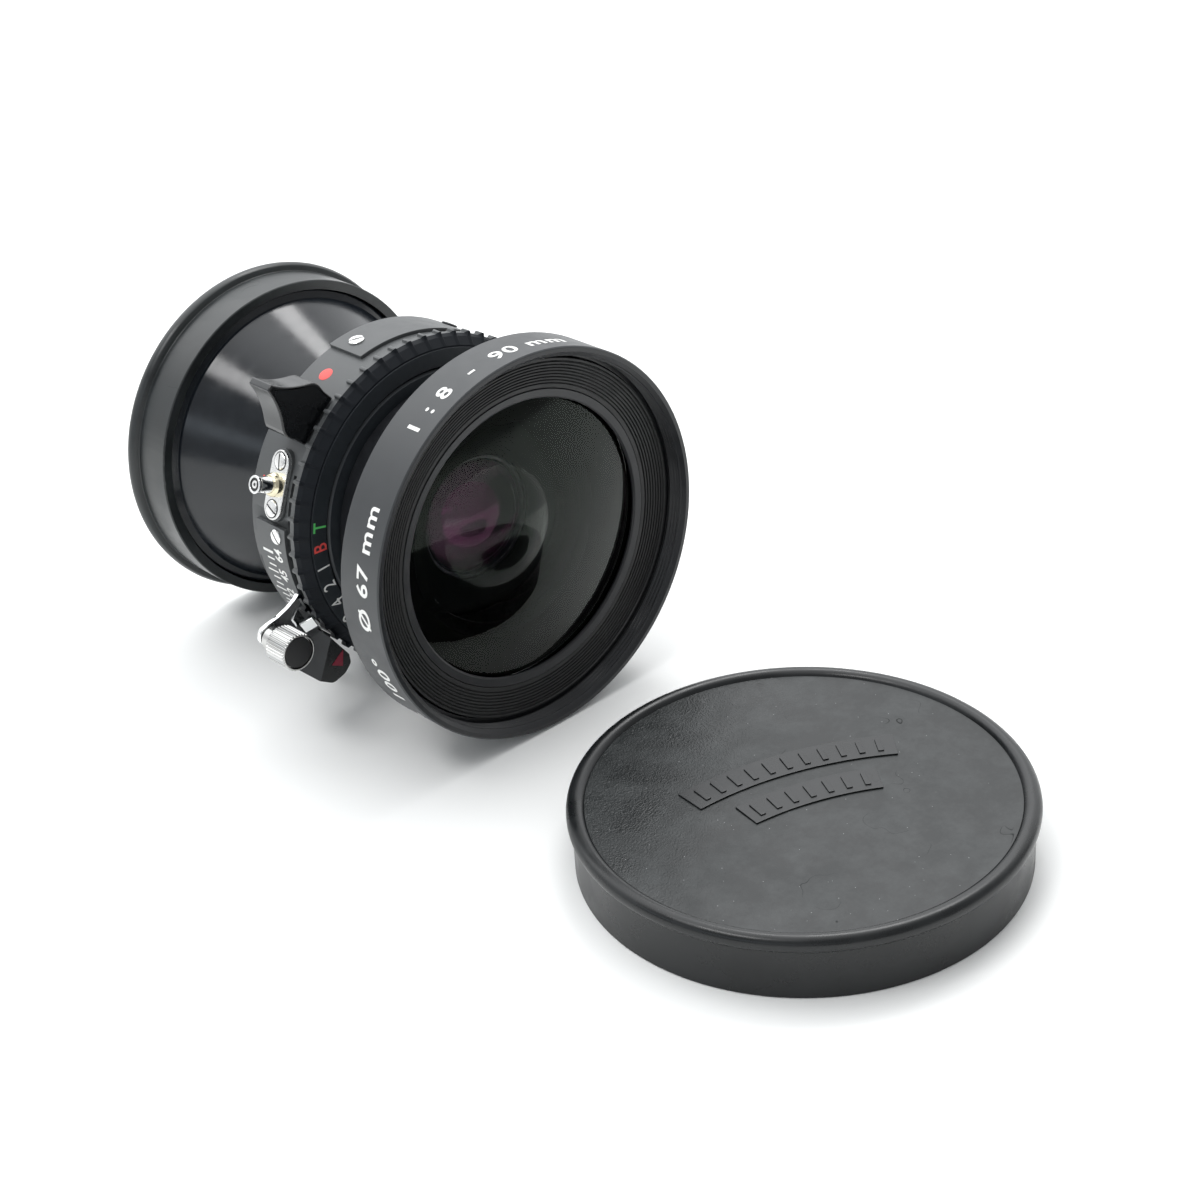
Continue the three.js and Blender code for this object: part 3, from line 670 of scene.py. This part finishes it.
def speed_ring():
    plain = [
        (25.1, SPEED_FACE), (28.15, SPEED_FACE, 0.03), (28.2, SPEED_FACE + 0.25, 0.03),
        (28.45, SPEED_FACE + 0.25, 0.03), (29.75, 29.15, 0.2), (30.1, 30.15, 0.1), (30.1, RING_BACK),
        (25.1, RING_BACK)]
    ribbed = [
        *plain[:4], (29.95, 29.05, 0.1), (RIB_R, 29.35, 0.12), (RIB_R, RING_BACK, 0.12), plain[-1]]
    low, high = (np.array(rounded(p, 0.06)) for p in (plain, ribbed))
    pitch = 2 * math.pi / RIBS
    # One rib: places along the pitch, and how much of the ribbed outline there is at each.
    offsets = np.array([0, 0.5, 0.62, 0.665, 0.71, 0.76, 0.84, 0.89, 0.935, 0.97]) * pitch
    rise = np.array([0, 0, 0, 0.15, 0.85, 1, 1, 0.85, 0.15, 0])
    angles = np.concatenate([offsets + i * pitch for i in range(RIBS)])
    share = np.tile(rise, RIBS)[:, None]

    def ribs(radius, depth, angle):
        blend = [low[None, :, k] * (1 - share) + high[None, :, k] * share for k in (0, 1)]
        return blend[0], blend[1]

    ring = turned("speed_ring_fine", plain, 0.06, angles=angles, shape=ribs)
    own(ring, "speed_ring", RING_BLACK, ["speed_ring"])
    # Painted light: the outer rim and the rib tops take the grey housing finish for the light falling on
    # them.
    second_look(ring, GREY, lambda r, p: r > 29.85 and p.z < -29.95)
    # Painted light: the front face takes the lighter copy, where the front barrel shades it.
    second_look(ring, SPEED_FACE_PAINTED_LIGHT, lambda r, p: p.z > -(SPEED_FACE + 0.02))
    for name, look, chosen in (
            ("speed_mark_t", GREEN, [0]), ("speed_mark_b", RED, [1]),
            ("speed_marks", WHITE, range(2, len(SPEEDS)))):
        parts = []
        for i in chosen:
            text = SPEEDS[i]
            narrow = 0.82 if len(text) == 1 else 0.62 if len(text) == 2 else 0.5
            bm = letters(text, 2.75, narrow, 0.03 if i < 2 else 0.0)
            centre = SPEED_START - SPEED_STEP * i
            for v in bm.verts:
                x, y = polar(26.65 + v.co.y, centre + math.degrees(v.co.x / 26.65))
                v.co = (x, y, v.co.z - SPEED_FACE)
            parts.append(bm)
        own(merged(name, parts), "speed_ring", look)
    retainer = turned("speed_ring_retainer_fine", [
        (17, SPEED_FACE), (24.3, SPEED_FACE, 0.05), (24.7, 27.9, 0.05), (24.7, 29), (17, 29)], 0.05, 160)
    # Painted light, like the ring's front face.
    own(retainer, "lens", SPEED_FACE_PAINTED_LIGHT, ["speed_ring_retainer"])


def housing():
    cup = turned("shutter_housing_fine", [
        (27.6, 31.5, 0.1), (HOUSING_R, 31.5, 0.12), (HOUSING_R, FLANGE - 0.4, 0.1),
        (HOUSING_R - 0.4, FLANGE, 0.1), (21.2, FLANGE, 0.05), (21.2, 43.7), (17.2, 43.7),
        *[(17.2 - 0.22 * (i % 2), 44.5 + 0.25 * i, 0.02) for i in range(16)],
        (17.0, 48.6), (15.5, 48.6), (15.5, 43.1), (27.6, 43.1)], 0.08, 256)
    for name, ends, front, back in (
            ("lever_groove", (-134, -62), 32.05, 33.05), ("aperture_groove", (-150, -88), 41.8, 42.7)):
        outline = [*arc(HOUSING_R + 1, *ends), *arc(28.2, *reversed(ends))]
        cut(cup, flat_part(name, outline, front, back, 0))
    hole = from_bmesh("hole", extruded(circle(1.5, 24), 26, 31, 0), side(CABLE_SOCKET, 37))
    own(cut(cup, hole), "lens", GREY, ["shutter_housing"])
    front = turned("shutter_front_plate_fine", [
        (15, 29.3), (24.6, 29.3), (24.6, 31.6), (27.3, 31.6), (27.3, 32.45), (15, 32.45)], 0.08, 160)
    own(front, "lens", DEEP, ["shutter_front_plate"])


def wall_plate(name, span, front, back, low, high, look, corner=0.5):
    """A thin plate bent round the wall, with rounded corners."""
    middle, half = sum(span) / 2, math.radians(span[1] - span[0]) / 2 * low
    outline = rounded(rectangle(-half, front, half, back), corner, steps=5)
    bm = bent(extruded(outline, 0, high - low, 0.07, 2), low, middle, 0)
    return own(from_bmesh(name + "_fine", bm), "lens", look, [name])


def screw(name, place, bottom, radius, height, slot_angle, look=CHROME, x=0.0):
    """A slotted screw with a slightly crowned head and its slot painted dark as shade."""
    top = bottom + height
    head = turned(name + "_fine", [
        (0, -top), (radius * 0.6, 0.03 - top, 0), (radius * 0.9, 0.08 - top, 0.05),
        (radius, 0.2 - top, 0.05), (radius, -bottom), (0, -bottom)], 0.04, 40,
        place=place @ shift(x, 0, 0))
    groove = rectangle(-2 * radius, -0.15, 2 * radius, 0.15)
    slot = from_bmesh("slot", extruded(groove, top - 0.38, top + 1, 0),
                      head.matrix_world @ rotation(slot_angle, "Z"))
    own(cut(head, slot), "lens", look, [name])
    # Painted shade: the faces inside the slot take the black insert plastic.
    second_look(head, INSERT, lambda r, p: r < radius - 0.12 and bottom + 0.01 < p.z < top - 0.1)


def marks_on_wall():
    on_wall = shift(0, 0, HOUSING_R)
    disc = turned("red_dot", [(0, -0.09), (1.2, -0.06, 0), (1.35, 0.0, 0.03), (1.35, 0.15), (0, 0.15)],
                  0.02, 48, place=side(-25.7, 38.7) @ on_wall)
    own(disc, "lens", RED)
    patch = extruded(rectangle(-0.45, -0.5, 0.45, 0.75), 0, 0.07, 0.02, 1)
    own(from_bmesh("speed_index", bent(patch, HOUSING_R, 25.1, 32.3)), "lens", RED)
    speck = turned("terminal_mark", [(0, -0.05), (0.32, -0.05, 0.03), (0.32, 0.1), (0, 0.1)],
                   0.02, 16, place=side(-66.9, 41.1) @ on_wall)
    own(speck, "lens", RED)

    ticks, numerals = [], []
    for i, text in enumerate(STOPS):
        angle = STOP_START - STOP_STEP * i
        numerals.append(bent(letters(text, 2.2, 0.86, 0.05), SCALE_R + 0.01, angle + 1.8, 35.8))
    for i in range(3 * (len(STOPS) - 1) + 2):
        half = 0.25 if i == 0 else 0.15
        length = 2.9 if i % 3 == 0 else 2.0
        tick = extruded(rectangle(-half, 0, half, length), -0.03, 0.035, 0)
        ticks.append(bent(tick, SCALE_R + 0.01, STOP_START + 2.0 - STOP_STEP / 3 * i, 37.3))
    own(merged("aperture_numerals", numerals), "lens", WHITE)
    own(merged("aperture_ticks", ticks), "lens", WHITE)


def wall_fittings():
    top = PLATE_R - 0.3
    wall_plate("top_plate", (-14.7, 50), 34.8, 43.9, HOUSING_R - 0.05, top, GREY, 0.2)
    wall_plate("aperture_scale_plate", (-146, -81.3), 33.05, 41.5, HOUSING_R - 0.1, SCALE_R, GREY, 0.15)
    screw("top_plate_screw_left", side(-8.8, 39.8), top, 1.45, 0.4, -30)
    screw("top_plate_screw_right", side(33, 40.5), top, 1.45, 0.4, -50, DEEP)
    screw("scale_plate_screw", side(-84.9, 35.6), SCALE_R, 1.4, 0.35, 41)
    marks_on_wall()


# -------- levers


def focus_lever():
    half, tip_r, wing_r, base_r = 5.5, 42.1, 34.4, HOUSING_R + 0.4

    def flank(sign, steps=14):
        start, pull, end = (Vector((sign * x, y)) for x, y in ((half, wing_r), (1.83, 37.5), (0.62, tip_r)))
        curve = [tuple(start * (1 - u) ** 2 + pull * 2 * u * (1 - u) + end * u * u)
                 for u in (0.2 + 0.8 * i / steps for i in range(steps + 1))]
        corner = [(4.8, 31.6), (5.15, 33), (5.2, 33.7), (5.08, 34.35), (4.75, 34.95)]
        return [*((sign * x, y) for x, y in corner), *curve]

    base = [(x, math.sqrt(base_r ** 2 - x * x)) for x in (4.7 - 9.4 * i / 12 for i in range(13))]
    outline = rounded([*flank(-1), *reversed(flank(1)), *base], 0.35)
    horn = from_bmesh("focus_lever_fine", pillow(outline, -38, -32.1, 0.45),
                      LENS @ rotation(-FOCUS_LEVER, "Z"))
    own(horn, "focus_lever", LEVER, ["focus_lever"])
    # The flanks take the lighter copy as painted sheen, while the front face stays black.
    second_look(horn, LEVER_PAINTED_SHEEN, lambda r, p: -37.9 < p.z < -32.4)


def cocking_lever():
    # (radius, angle) of the arm's two edges, from the ring outwards
    upper = [(30.05, -104), (31.8, -105.5), (33.4, -106.2), (35.8, -106.5), (38, -106.2), (39.8, -106.2)]
    end = [(40.9, -108.6), (40.5, -111.6)]
    lower = [(37.4, -113.6), (33.2, -116.9), (30.05, -118)]
    outline = rounded([polar(*p) for p in upper + end + lower], 1.2, steps=4)
    arm = from_bmesh("cocking_arm", pillow(outline, -33, -32.1, 0.12))
    own(arm, "cocking_lever", POLISHED, ["cocking_lever"])
    ring = turned("cocking_ring", [(22, 32.65), (27.2, 32.65), (27.2, 33.05), (22, 33.05)], 0.05, 128)
    own(ring, "cocking_lever", CHROME)

    centre = Vector(polar(38.8, COCKING_KNOB))
    axis = LENS @ shift(centre.x, centre.y, 0)
    flutes, steps = 34, 8
    angles = np.linspace(0, 2 * math.pi, flutes * steps, endpoint=False)

    def knurl(radius, depth, angle):
        wave = np.clip(1.6 * np.cos(flutes * angle), -1, 1)
        grip = (radius > 3.1) & (depth > 23.75) & (depth < 28.9)
        return np.where(grip, radius - 0.2 * (1 - wave) / 2, radius), depth

    knob = turned("cocking_knob_fine", [
        (0, 24.3), (2.95, 24.3, 0.05), (2.95, 23.6, 0.06), (3.15, 23.6, 0.06), (3.4, 23.85, 0.1),
        (3.4, 28.7, 0.1), (3.15, 29, 0.15), (2.35, 29, 0.2), (2.3, 31.5, 0.5),
        (1.9, 31.95, 0.3), (0, 31.95)], 0.08, place=axis, angles=angles, shape=knurl, sharp=50)
    own(knob, "cocking_lever", KNURLED, ["cocking_knob"])
    insert = turned("cocking_knob_insert_fine", [
        (0, 23.7), (2.4, 23.7, 0), (2.75, 23.75, 0.1), (2.75, 24.15), (0, 24.15)], 0.05, 48, place=axis)
    own(insert, "cocking_lever", INSERT, ["cocking_knob_insert"])


def release_lever():
    plate = [
        polar(30.9, -120.2), polar(33.6, -120.4), polar(36.8, -120.4), polar(36.8, -128.4),
        polar(33.4, -128.4), polar(31.2, -123)]
    plate = flat_part("release_lever_fine", plate, 31.5, 31.95, 0.08)
    own(plate, "release_lever", CHROME, ["release_lever"])
    # The bright tab between the knob and the tip leans outwards.
    tab = extruded(rectangle(-3.2, -1.25, 1.75, 1.25), -0.25, 0.25, 0.08)
    bmesh.ops.transform(tab, matrix=rotation(90, "X"), verts=tab.verts)
    tab = from_bmesh("release_tab", tab, side(-114.9, 30.4) @ shift(0, 0, 32.3) @ rotation(-28, "X"))
    own(tab, "release_lever", POLISHED)

    place = side(RELEASE_TIP, 31)
    ridge_x, ridge_y, slope = 0.4, -3.45, 0.2

    def ridge(height):
        """Where the slanted ridge between the two slopes runs at this height."""
        return ridge_x - 0.57 * (height - 34.5)

    section = [(-12, ridge_y + slope * (ridge_x + 12)), (ridge_x, ridge_y), (8.3, 2.2), (-12, 2.2)]
    slopes = extruded(section, 31, 39.4, 0)
    for v in slopes.verts:
        v.co.x += ridge(v.co.z) - ridge_x
    wedge = from_bmesh("release_tip_fine", slopes, place)
    contour = rounded([
        (3.9, 31.5), (4.3, 37.5, 1.5), (2, 39.1, 1.2), (-1.6, 38.5, 2.2), (-5.4, 37, 2.4),
        (-6.8, 34.2, 1.8), (-6.6, 32.1, 0.8), (-4.8, 31.2, 0.6)], 0.3, steps=6)
    body = extruded([(x, -z) for x, z in contour], -5, 5, 0)
    bmesh.ops.transform(body, matrix=rotation(-90, "X"), verts=body.verts)
    cut(wedge, from_bmesh("contour", body, place), operation="INTERSECT")
    soft = wedge.modifiers.new("soft", "BEVEL")
    soft.width, soft.segments, soft.angle_limit = 0.25 * MM, 3, math.radians(35)
    wedge.modifiers.move(1, 0)
    # Painted light: the tip takes the lighter copy everywhere but its left slope, which keeps the plain
    # black plastic.
    own(wedge, "release_lever", LEVER_PAINTED_LIGHT, ["release_tip"])
    second_look(wedge, LEVER, lambda r, p: p.x < ridge(p.z))
    flag = extruded([(-2.5, 31.4), (-2.1, 34.9), (-5.0, 33.6)], 0, 0.05, 0)
    for v in flag.verts:
        v.co = (v.co.x, ridge_y + slope * (ridge(v.co.y) - v.co.x) - v.co.z - 0.01, v.co.y)
    own(from_bmesh("release_flag", flag, place), "release_lever", DARK_RED)


def aperture_lever():
    front, back = 41.95, 42.55
    a = APERTURE_LEVER
    arm = [polar(26, a - 4), polar(26, a + 4), polar(31.2, a + 2.6), polar(34.6, a + 3.4),
           polar(34.6, a - 3.4), polar(31.2, a - 2.6)]
    own(flat_part("aperture_arm", arm, front, back, 0.1), "aperture_lever", DEEP, ["aperture_lever"])
    ring = turned("aperture_ring", [(16, front), (27.1, front), (27.1, back), (16, back)], 0.05, 128)
    own(ring, "aperture_lever", DEEP)
    ribs = [extruded(rectangle(x - 0.28, -1.7, x + 0.28, 1.7), 33.4, 34.5, 0.12)
            for x in (-1.5 + 0.75 * i for i in range(5))]
    own(merged("aperture_grip", ribs, side(a, 41)), "aperture_lever", DEEP)


def sync_terminal():
    place = side(SYNC_TERMINAL, 36.3)
    plate_top = HOUSING_R + 0.85
    block = extruded(stadium(12.9, 5.15, 16), 28, plate_top - 0.55, 0.12)
    spacer = from_bmesh("sync_spacer_fine", block, place)
    wall = turned("wall", rectangle(20, 30, HOUSING_R - 0.1, 42), 0, 256)
    split = from_bmesh("split", extruded(rectangle(-0.12, -3, 0.12, 3), 20, 32, 0), place)
    own(cut(spacer, wall, split), "lens", GREY, ["sync_spacer"])
    sheet = extruded(stadium(12.4, 4.8, 16), plate_top - 0.6, plate_top, 0.14)
    own(from_bmesh("sync_plate_fine", sheet, place), "lens", CHROME, ["sync_plate"])
    tubes = (
        ("sync_boss", [(1.5, 0), (2.15, 0, 0), (2.1, 0.9, 0.1), (1.75, 1.5, 0.2), (1.5, 1.5)], BRASS),
        ("sync_barrel", [(1.2, 0.1), (1.48, 0.1), (1.48, 3.9, 0), (1.6, 4.1, 0.1), (1.6, 4.65, 0.12),
                         (1.2, 4.65, 0.08)], POLISHED),
        ("sync_insulator", [(0.72, 0.1), (1.18, 0.1), (1.18, 4.45), (0.72, 4.45)], INSERT),
        ("sync_contact", [(0.3, 0.1), (0.70, 0.1), (0.70, 4.6, 0.06), (0.3, 4.6, 0.06)], CHROME))
    for name, profile, look in tubes:
        raised = [(r, -(plate_top + h), *rest) for r, h, *rest in profile]
        own(turned(name + "_fine", raised, 0.03, 64, place=place), "lens", look, [name])
    for name, x, slot in (("sync_screw_lower", -4.25, 68), ("sync_screw_upper", 4.25, 10)):
        # A thin black ring round each screw head on the plate: painted shade.
        painted_shade_ring = turned(name + "_well", rectangle(1.5, -plate_top, 1.68, -(plate_top + 0.03)),
                      0, 40, place=place @ shift(x, 0, 0))
        own(painted_shade_ring, "lens", INSERT)
        screw(name, place, plate_top, 1.48, 0.32, slot, x=x)


def cable_socket():
    profile = [(1.15, -29.6), (3.4, -29.6), (3.4, -30.4), (2.7, -30.6), (2.5, -34.6), (1.15, -34.6)]
    socket = turned("cable_release_socket_fine", profile, 0.12, 64, place=side(CABLE_SOCKET, 37))
    own(socket, "lens", CHROME, ["cable_release_socket"])


# -------- rear cell


def rear_cell():
    barrel = turned("rear_barrel_fine", [
        (13.1, 41), (15.2, 41), (15.2, 48.9), (17.4, 48.9), (17.4, 50.2, 0.2), (27.2, 69.6, 0.15),
        (27.2, 70.3, 0.05), (REAR_R, 70.7, 0.1), (REAR_R, REAR_END, 0.2), (26.3, REAR_END, 0.1),
        (23.9, 75.6), (23.9, 66.2), (16.6, 51.5), (16, 50.6), (16, 49.6), (13.1, 49.6)], 0.08, 256)
    own(barrel, "lens", GLOSS, ["rear_barrel"])
    second_look(barrel, MATT, lambda r, p: r < min(26.35, 17 + 0.505 * (-p.z - 50.2)))
    lens_element("rear_doublet", [(0, 42.4), (12.9, 42.4), *reversed(dome(53.6, 12.9, 48.6))], INNER_GLASS,
                 nodes=["rear_doublet_inner", "rear_doublet_outer"])
    lens_element("rear_meniscus", [
        *dome(72.4, 16.8, 63.6), (23.6, 67), *reversed(dome(75.8, 23.6, 72.6))], FRONT_GLASS,
        lambda r, depth: r > 16.85 and depth < 67.1)
    for name, profile, look in (
            ("rear_cell_retainer", [(11.2, 41.3), (12.85, 41.3), (12.85, 42.1), (11.2, 42.1)], MATT),
            ("rear_spacer", [(23.2, 65.8), (22, 65.8), (17.4, 63.2), (13.6, 51), (13.6, 50), (15.7, 50),
                             (15.7, 50.8), (16.3, 51.8)], WELL),
            ("rear_retaining_ring", [(22.4, 73.4), (23.7, 73.4), (23.7, 74.5), (22.4, 74.5)], SATIN)):
        own(turned(name + "_fine", profile, 0.08, 160), "lens", look, [name])
    nut = turned("mounting_nut_fine", [(17.5, 45.4), (20.6, 45.4), (20.6, 47.6), (17.5, 47.6)], 0.15, 160)
    notches = [from_bmesh("notch", extruded(rectangle(-1.2, -2, 1.2, 2), 19, 22, 0), side(a, 46.5))
               for a in (45, 225)]
    own(cut(nut, *notches), "lens", SATIN, ["mounting_nut"])


# -------- caps

CAP_WALL = 1.85
BEAD = 1.5


def cap_profile(bore, outer, height):
    """[radius, height] of a cap with its mouth at 0 and a round bead at the closed end."""
    centre_r, centre_h, skirt = outer - BEAD, height - BEAD, bore + CAP_WALL
    bead = [(centre_r + BEAD * math.cos(a), centre_h + BEAD * math.sin(a), 0)
            for a in (math.radians(-48 + 203 * i / 22) for i in range(23))]
    floor = height - 0.75
    return [
        (0, height - 2.05), (bore, height - 2.05, 0.4), (bore, 0, 0.1), (skirt - 0.2, 0, 0.1),
        (skirt, 0.2, 0.1), (skirt, centre_h - BEAD * 0.86, 0.25), *bead,
        (centre_r - BEAD + 0.02, floor, 0.1), (centre_r - BEAD - 0.6, floor, 0), (0, floor)]


def front_cap():
    bore = RIM_R + 0.3
    profile = [(r, -h, *rest) for r, h, *rest in cap_profile(bore, CAP_R, CAP_HEIGHT)]
    cap = turned("front_cap_fine", profile, 0.1, 256, place=CAP)
    own(cap, "front_cap", CAP_SMOOTH, ["front_cap"])
    recess_r, floor = CAP_R - 2 * BEAD, CAP_HEIGHT - 0.75
    second_look(cap, CAP_GRAIN, lambda r, p: r < recess_r and p.z > floor - 0.1)

    # A plain raised emblem: two bent ribbons with rows of bars.
    place = CAP @ shift(3.2, 4.7, floor - 0.02) @ rotation(-21, "Z")
    pivot, half_width = -58, 2.8
    bars = []
    for name, middle, half, count in (("upper", 61.2, 17.5, 11), ("lower", 52.4, 13, 7)):
        outline = [*arc(middle + half_width, -half, half), *arc(middle - half_width, half, -half)]
        outline = [(x, y + pivot) for x, y in outline]
        own(flat_part(name + "_ribbon", outline, -0.3, 0, 0.08, place, 2), "front_cap", CAP_SMOOTH)
        for i in range(count):
            lean = math.radians((i - (count - 1) / 2) * 2 * (half - 2.5) / (count - 1))
            bar = extruded(rectangle(-0.5, middle - 1.7, 0.5, middle + 1.7), 0.2, 0.52, 0.1, 2)
            bmesh.ops.rotate(bar, cent=(0, 0, 0), matrix=Matrix.Rotation(-lean, 3, "Z"), verts=bar.verts)
            bmesh.ops.translate(bar, vec=(0, pivot, 0), verts=bar.verts)
            bars.append(bar)
    own(merged("emblem_bars", bars, place), "front_cap", CAP_SMOOTH)


def rear_cap():
    height = REAR_TOP - REAR_MOUTH
    profile = [(r, REAR_MOUTH + h, *rest) for r, h, *rest in cap_profile(REAR_R + 0.3, REAR_BEAD_R, height)]

    def burr(radius, depth, angle):
        """The moulding flash on the mouth's edge, torn in places."""
        edge = np.clip(1 - (depth - REAR_MOUTH) / 0.4, 0, 1) * (radius > REAR_R + 1.2)
        ragged = np.sin(37 * angle) * np.sin(91 * angle + 1) + 0.6 * np.sin(213 * angle)
        torn = np.exp(-((np.degrees(angle) - 283) / 9) ** 2) + 0.15
        return radius + 0.10 * edge * ragged * torn, depth - 0.16 * edge * np.abs(ragged) * torn

    cap = turned("rear_cap_fine", profile, 0.1, 360, shape=burr)
    own(cap, "rear_cap", REAR_PLASTIC, ["rear_cap"])


def inner_finishes():
    """CAD nodes that stay, with their materials."""
    for name, node in frame["nodes"].items():
        if node.hide_render:
            continue
        look = IRIS if name.startswith("iris") else BRASS if "wheel" in name else STEEL
        node.data.materials.clear()
        node.data.materials.append(look)


# -------- studio


def toward(azimuth, elevation):
    """A unit vector, angles in degrees, azimuth from +Y to +X."""
    a, e = math.radians(azimuth), math.radians(elevation)
    return Vector((math.sin(a) * math.cos(e), math.cos(a) * math.cos(e), math.sin(e)))


def glow(tree, direction, azimuth, elevation, inner, outer, strength):
    """Brightness of a round soft patch of the surroundings, angles in degrees."""
    start, full = (math.cos(math.radians(angle)) for angle in (outer, inner))
    return spread(tree, dot(tree, direction, toward(azimuth, elevation)), start, full, 0.0, strength)


def surroundings():
    """A dim room with a bright ceiling, a light wall behind and a strip of window on the left."""
    world = bpy.data.worlds.new("studio")
    world.use_nodes = True
    tree = world.node_tree
    direction = add_node(tree, "ShaderNodeTexCoord").outputs["Generated"]
    total = 0.41
    for patch in (  # azimuth, elevation, inner and outer angle, strength
            (0, 90, 12, 34, 0.6), (5, 48, 10, 42, 1.7), (25, 12, 64, 88, 0.62), (62, 26, 12, 44, 0.6)):
        total = maths(tree, "ADD", total, glow(tree, direction, *patch))
    height = add_node(tree, "ShaderNodeSeparateXYZ", {0: direction}).outputs["Z"]
    off = maths(tree, "ABSOLUTE", maths(tree, "SUBTRACT", height, 0.34))
    strip = spread(tree, off, 0.05, 0.11, 1.0, 0.0)
    window = maths(tree, "MULTIPLY", strip, glow(tree, direction, -90, 15, 25, 60, 1.0))
    total = maths(tree, "ADD", total, window)
    background = tree.nodes["Background"]
    tree.links.new(mix(tree, window, (0.97, 0.985, 1.0), (0.84, 0.92, 1.0)), background.inputs["Color"])
    tree.links.new(total, background.inputs["Strength"])
    bpy.context.scene.world = world


def stage():
    """A pale floor that turns grey far away as painted shade round a pool of light, and three large soft
    lamps.
    """
    floor = turned("floor", [(0, 0), (2500, 0), (2500, 20), (0, 20)], 0, 128, place=Matrix.Identity(4))
    made, tree, shader, place = surface("floor_paper", "", (0.92, 0.925, 0.915), 0.75, shine=0.1)
    distance = add_node(tree, "ShaderNodeVectorMath", {0: place}, operation="LENGTH").outputs["Value"]
    # Painted shade: the floor darkens from 560 mm out, leaving a pool of light round the lens.
    shade_falloff = add_node(tree, "ShaderNodeMapRange", {
        "Value": distance, "From Min": 560.0, "From Max": 1500.0}, interpolation_type="SMOOTHSTEP")
    paper_and_shade = mix(tree, noise(tree, place, 0.004, 2.0), (0.91, 0.915, 0.905), (0.93, 0.935, 0.925))
    paper_and_shade = mix(tree, shade_falloff.outputs["Result"], paper_and_shade, (0.42, 0.425, 0.43))
    tree.links.new(paper_and_shade, shader.inputs["Base Color"])
    bump(tree, shader, noise(tree, place, 3.0, 3.0), 0.05, 0.05)
    floor.data.materials.append(made)
    surroundings()

    middle = Vector((0, 0, 0.03))
    for name, azimuth, elevation, length, width, power in (
            ("right_soft_box", 67, 57, 0.5, 0.25, 3.1), ("left_soft_box", -86, 60, 0.5, 0.20, 2.6),
            ("overhead", 20, 85, 0.9, 0.9, 0.8)):
        away = toward(azimuth, elevation)
        light = bpy.data.lights.new(name, "AREA")
        light.shape, light.size, light.size_y, light.energy = "RECTANGLE", length, width, power
        lamp = bpy.data.objects.new(name, light)
        lamp.location = middle + away
        lamp.rotation_mode = "QUATERNION"
        lamp.rotation_quaternion = away.to_track_quat("Z", "Y")
        lamp.visible_camera = False
        bpy.context.scene.collection.objects.link(lamp)


def camera():
    """The photograph's viewing angle, fitted to the rims of the lens and of the cap."""
    forward = toward(40.27, -30.77)
    roll = math.radians(-4.01)
    level = forward.cross(Vector((0, 0, 1))).normalized()
    upward = level.cross(forward)
    right = level * math.cos(roll) + upward * math.sin(roll)
    matrix = Matrix((right, right.cross(forward), -forward)).transposed().to_4x4()
    matrix.translation = Vector((-226.87, -274.58, 239.30)) * MM
    data = bpy.data.cameras.new("camera")
    data.sensor_width = 36
    data.lens = 73.11
    data.clip_start, data.clip_end = 0.01, 20
    obj = bpy.data.objects.new("camera", data)
    obj.matrix_world = matrix
    bpy.context.scene.collection.objects.link(obj)
    bpy.context.scene.camera = obj
    bpy.context.scene.view_settings.view_transform = "Standard"


camera()
front_barrel()
baffle()
front_glass()
speed_ring()
housing()
wall_fittings()
focus_lever()
cocking_lever()
release_lever()
aperture_lever()
sync_terminal()
cable_socket()
rear_cell()
rear_cap()
front_cap()
inner_finishes()
stage()
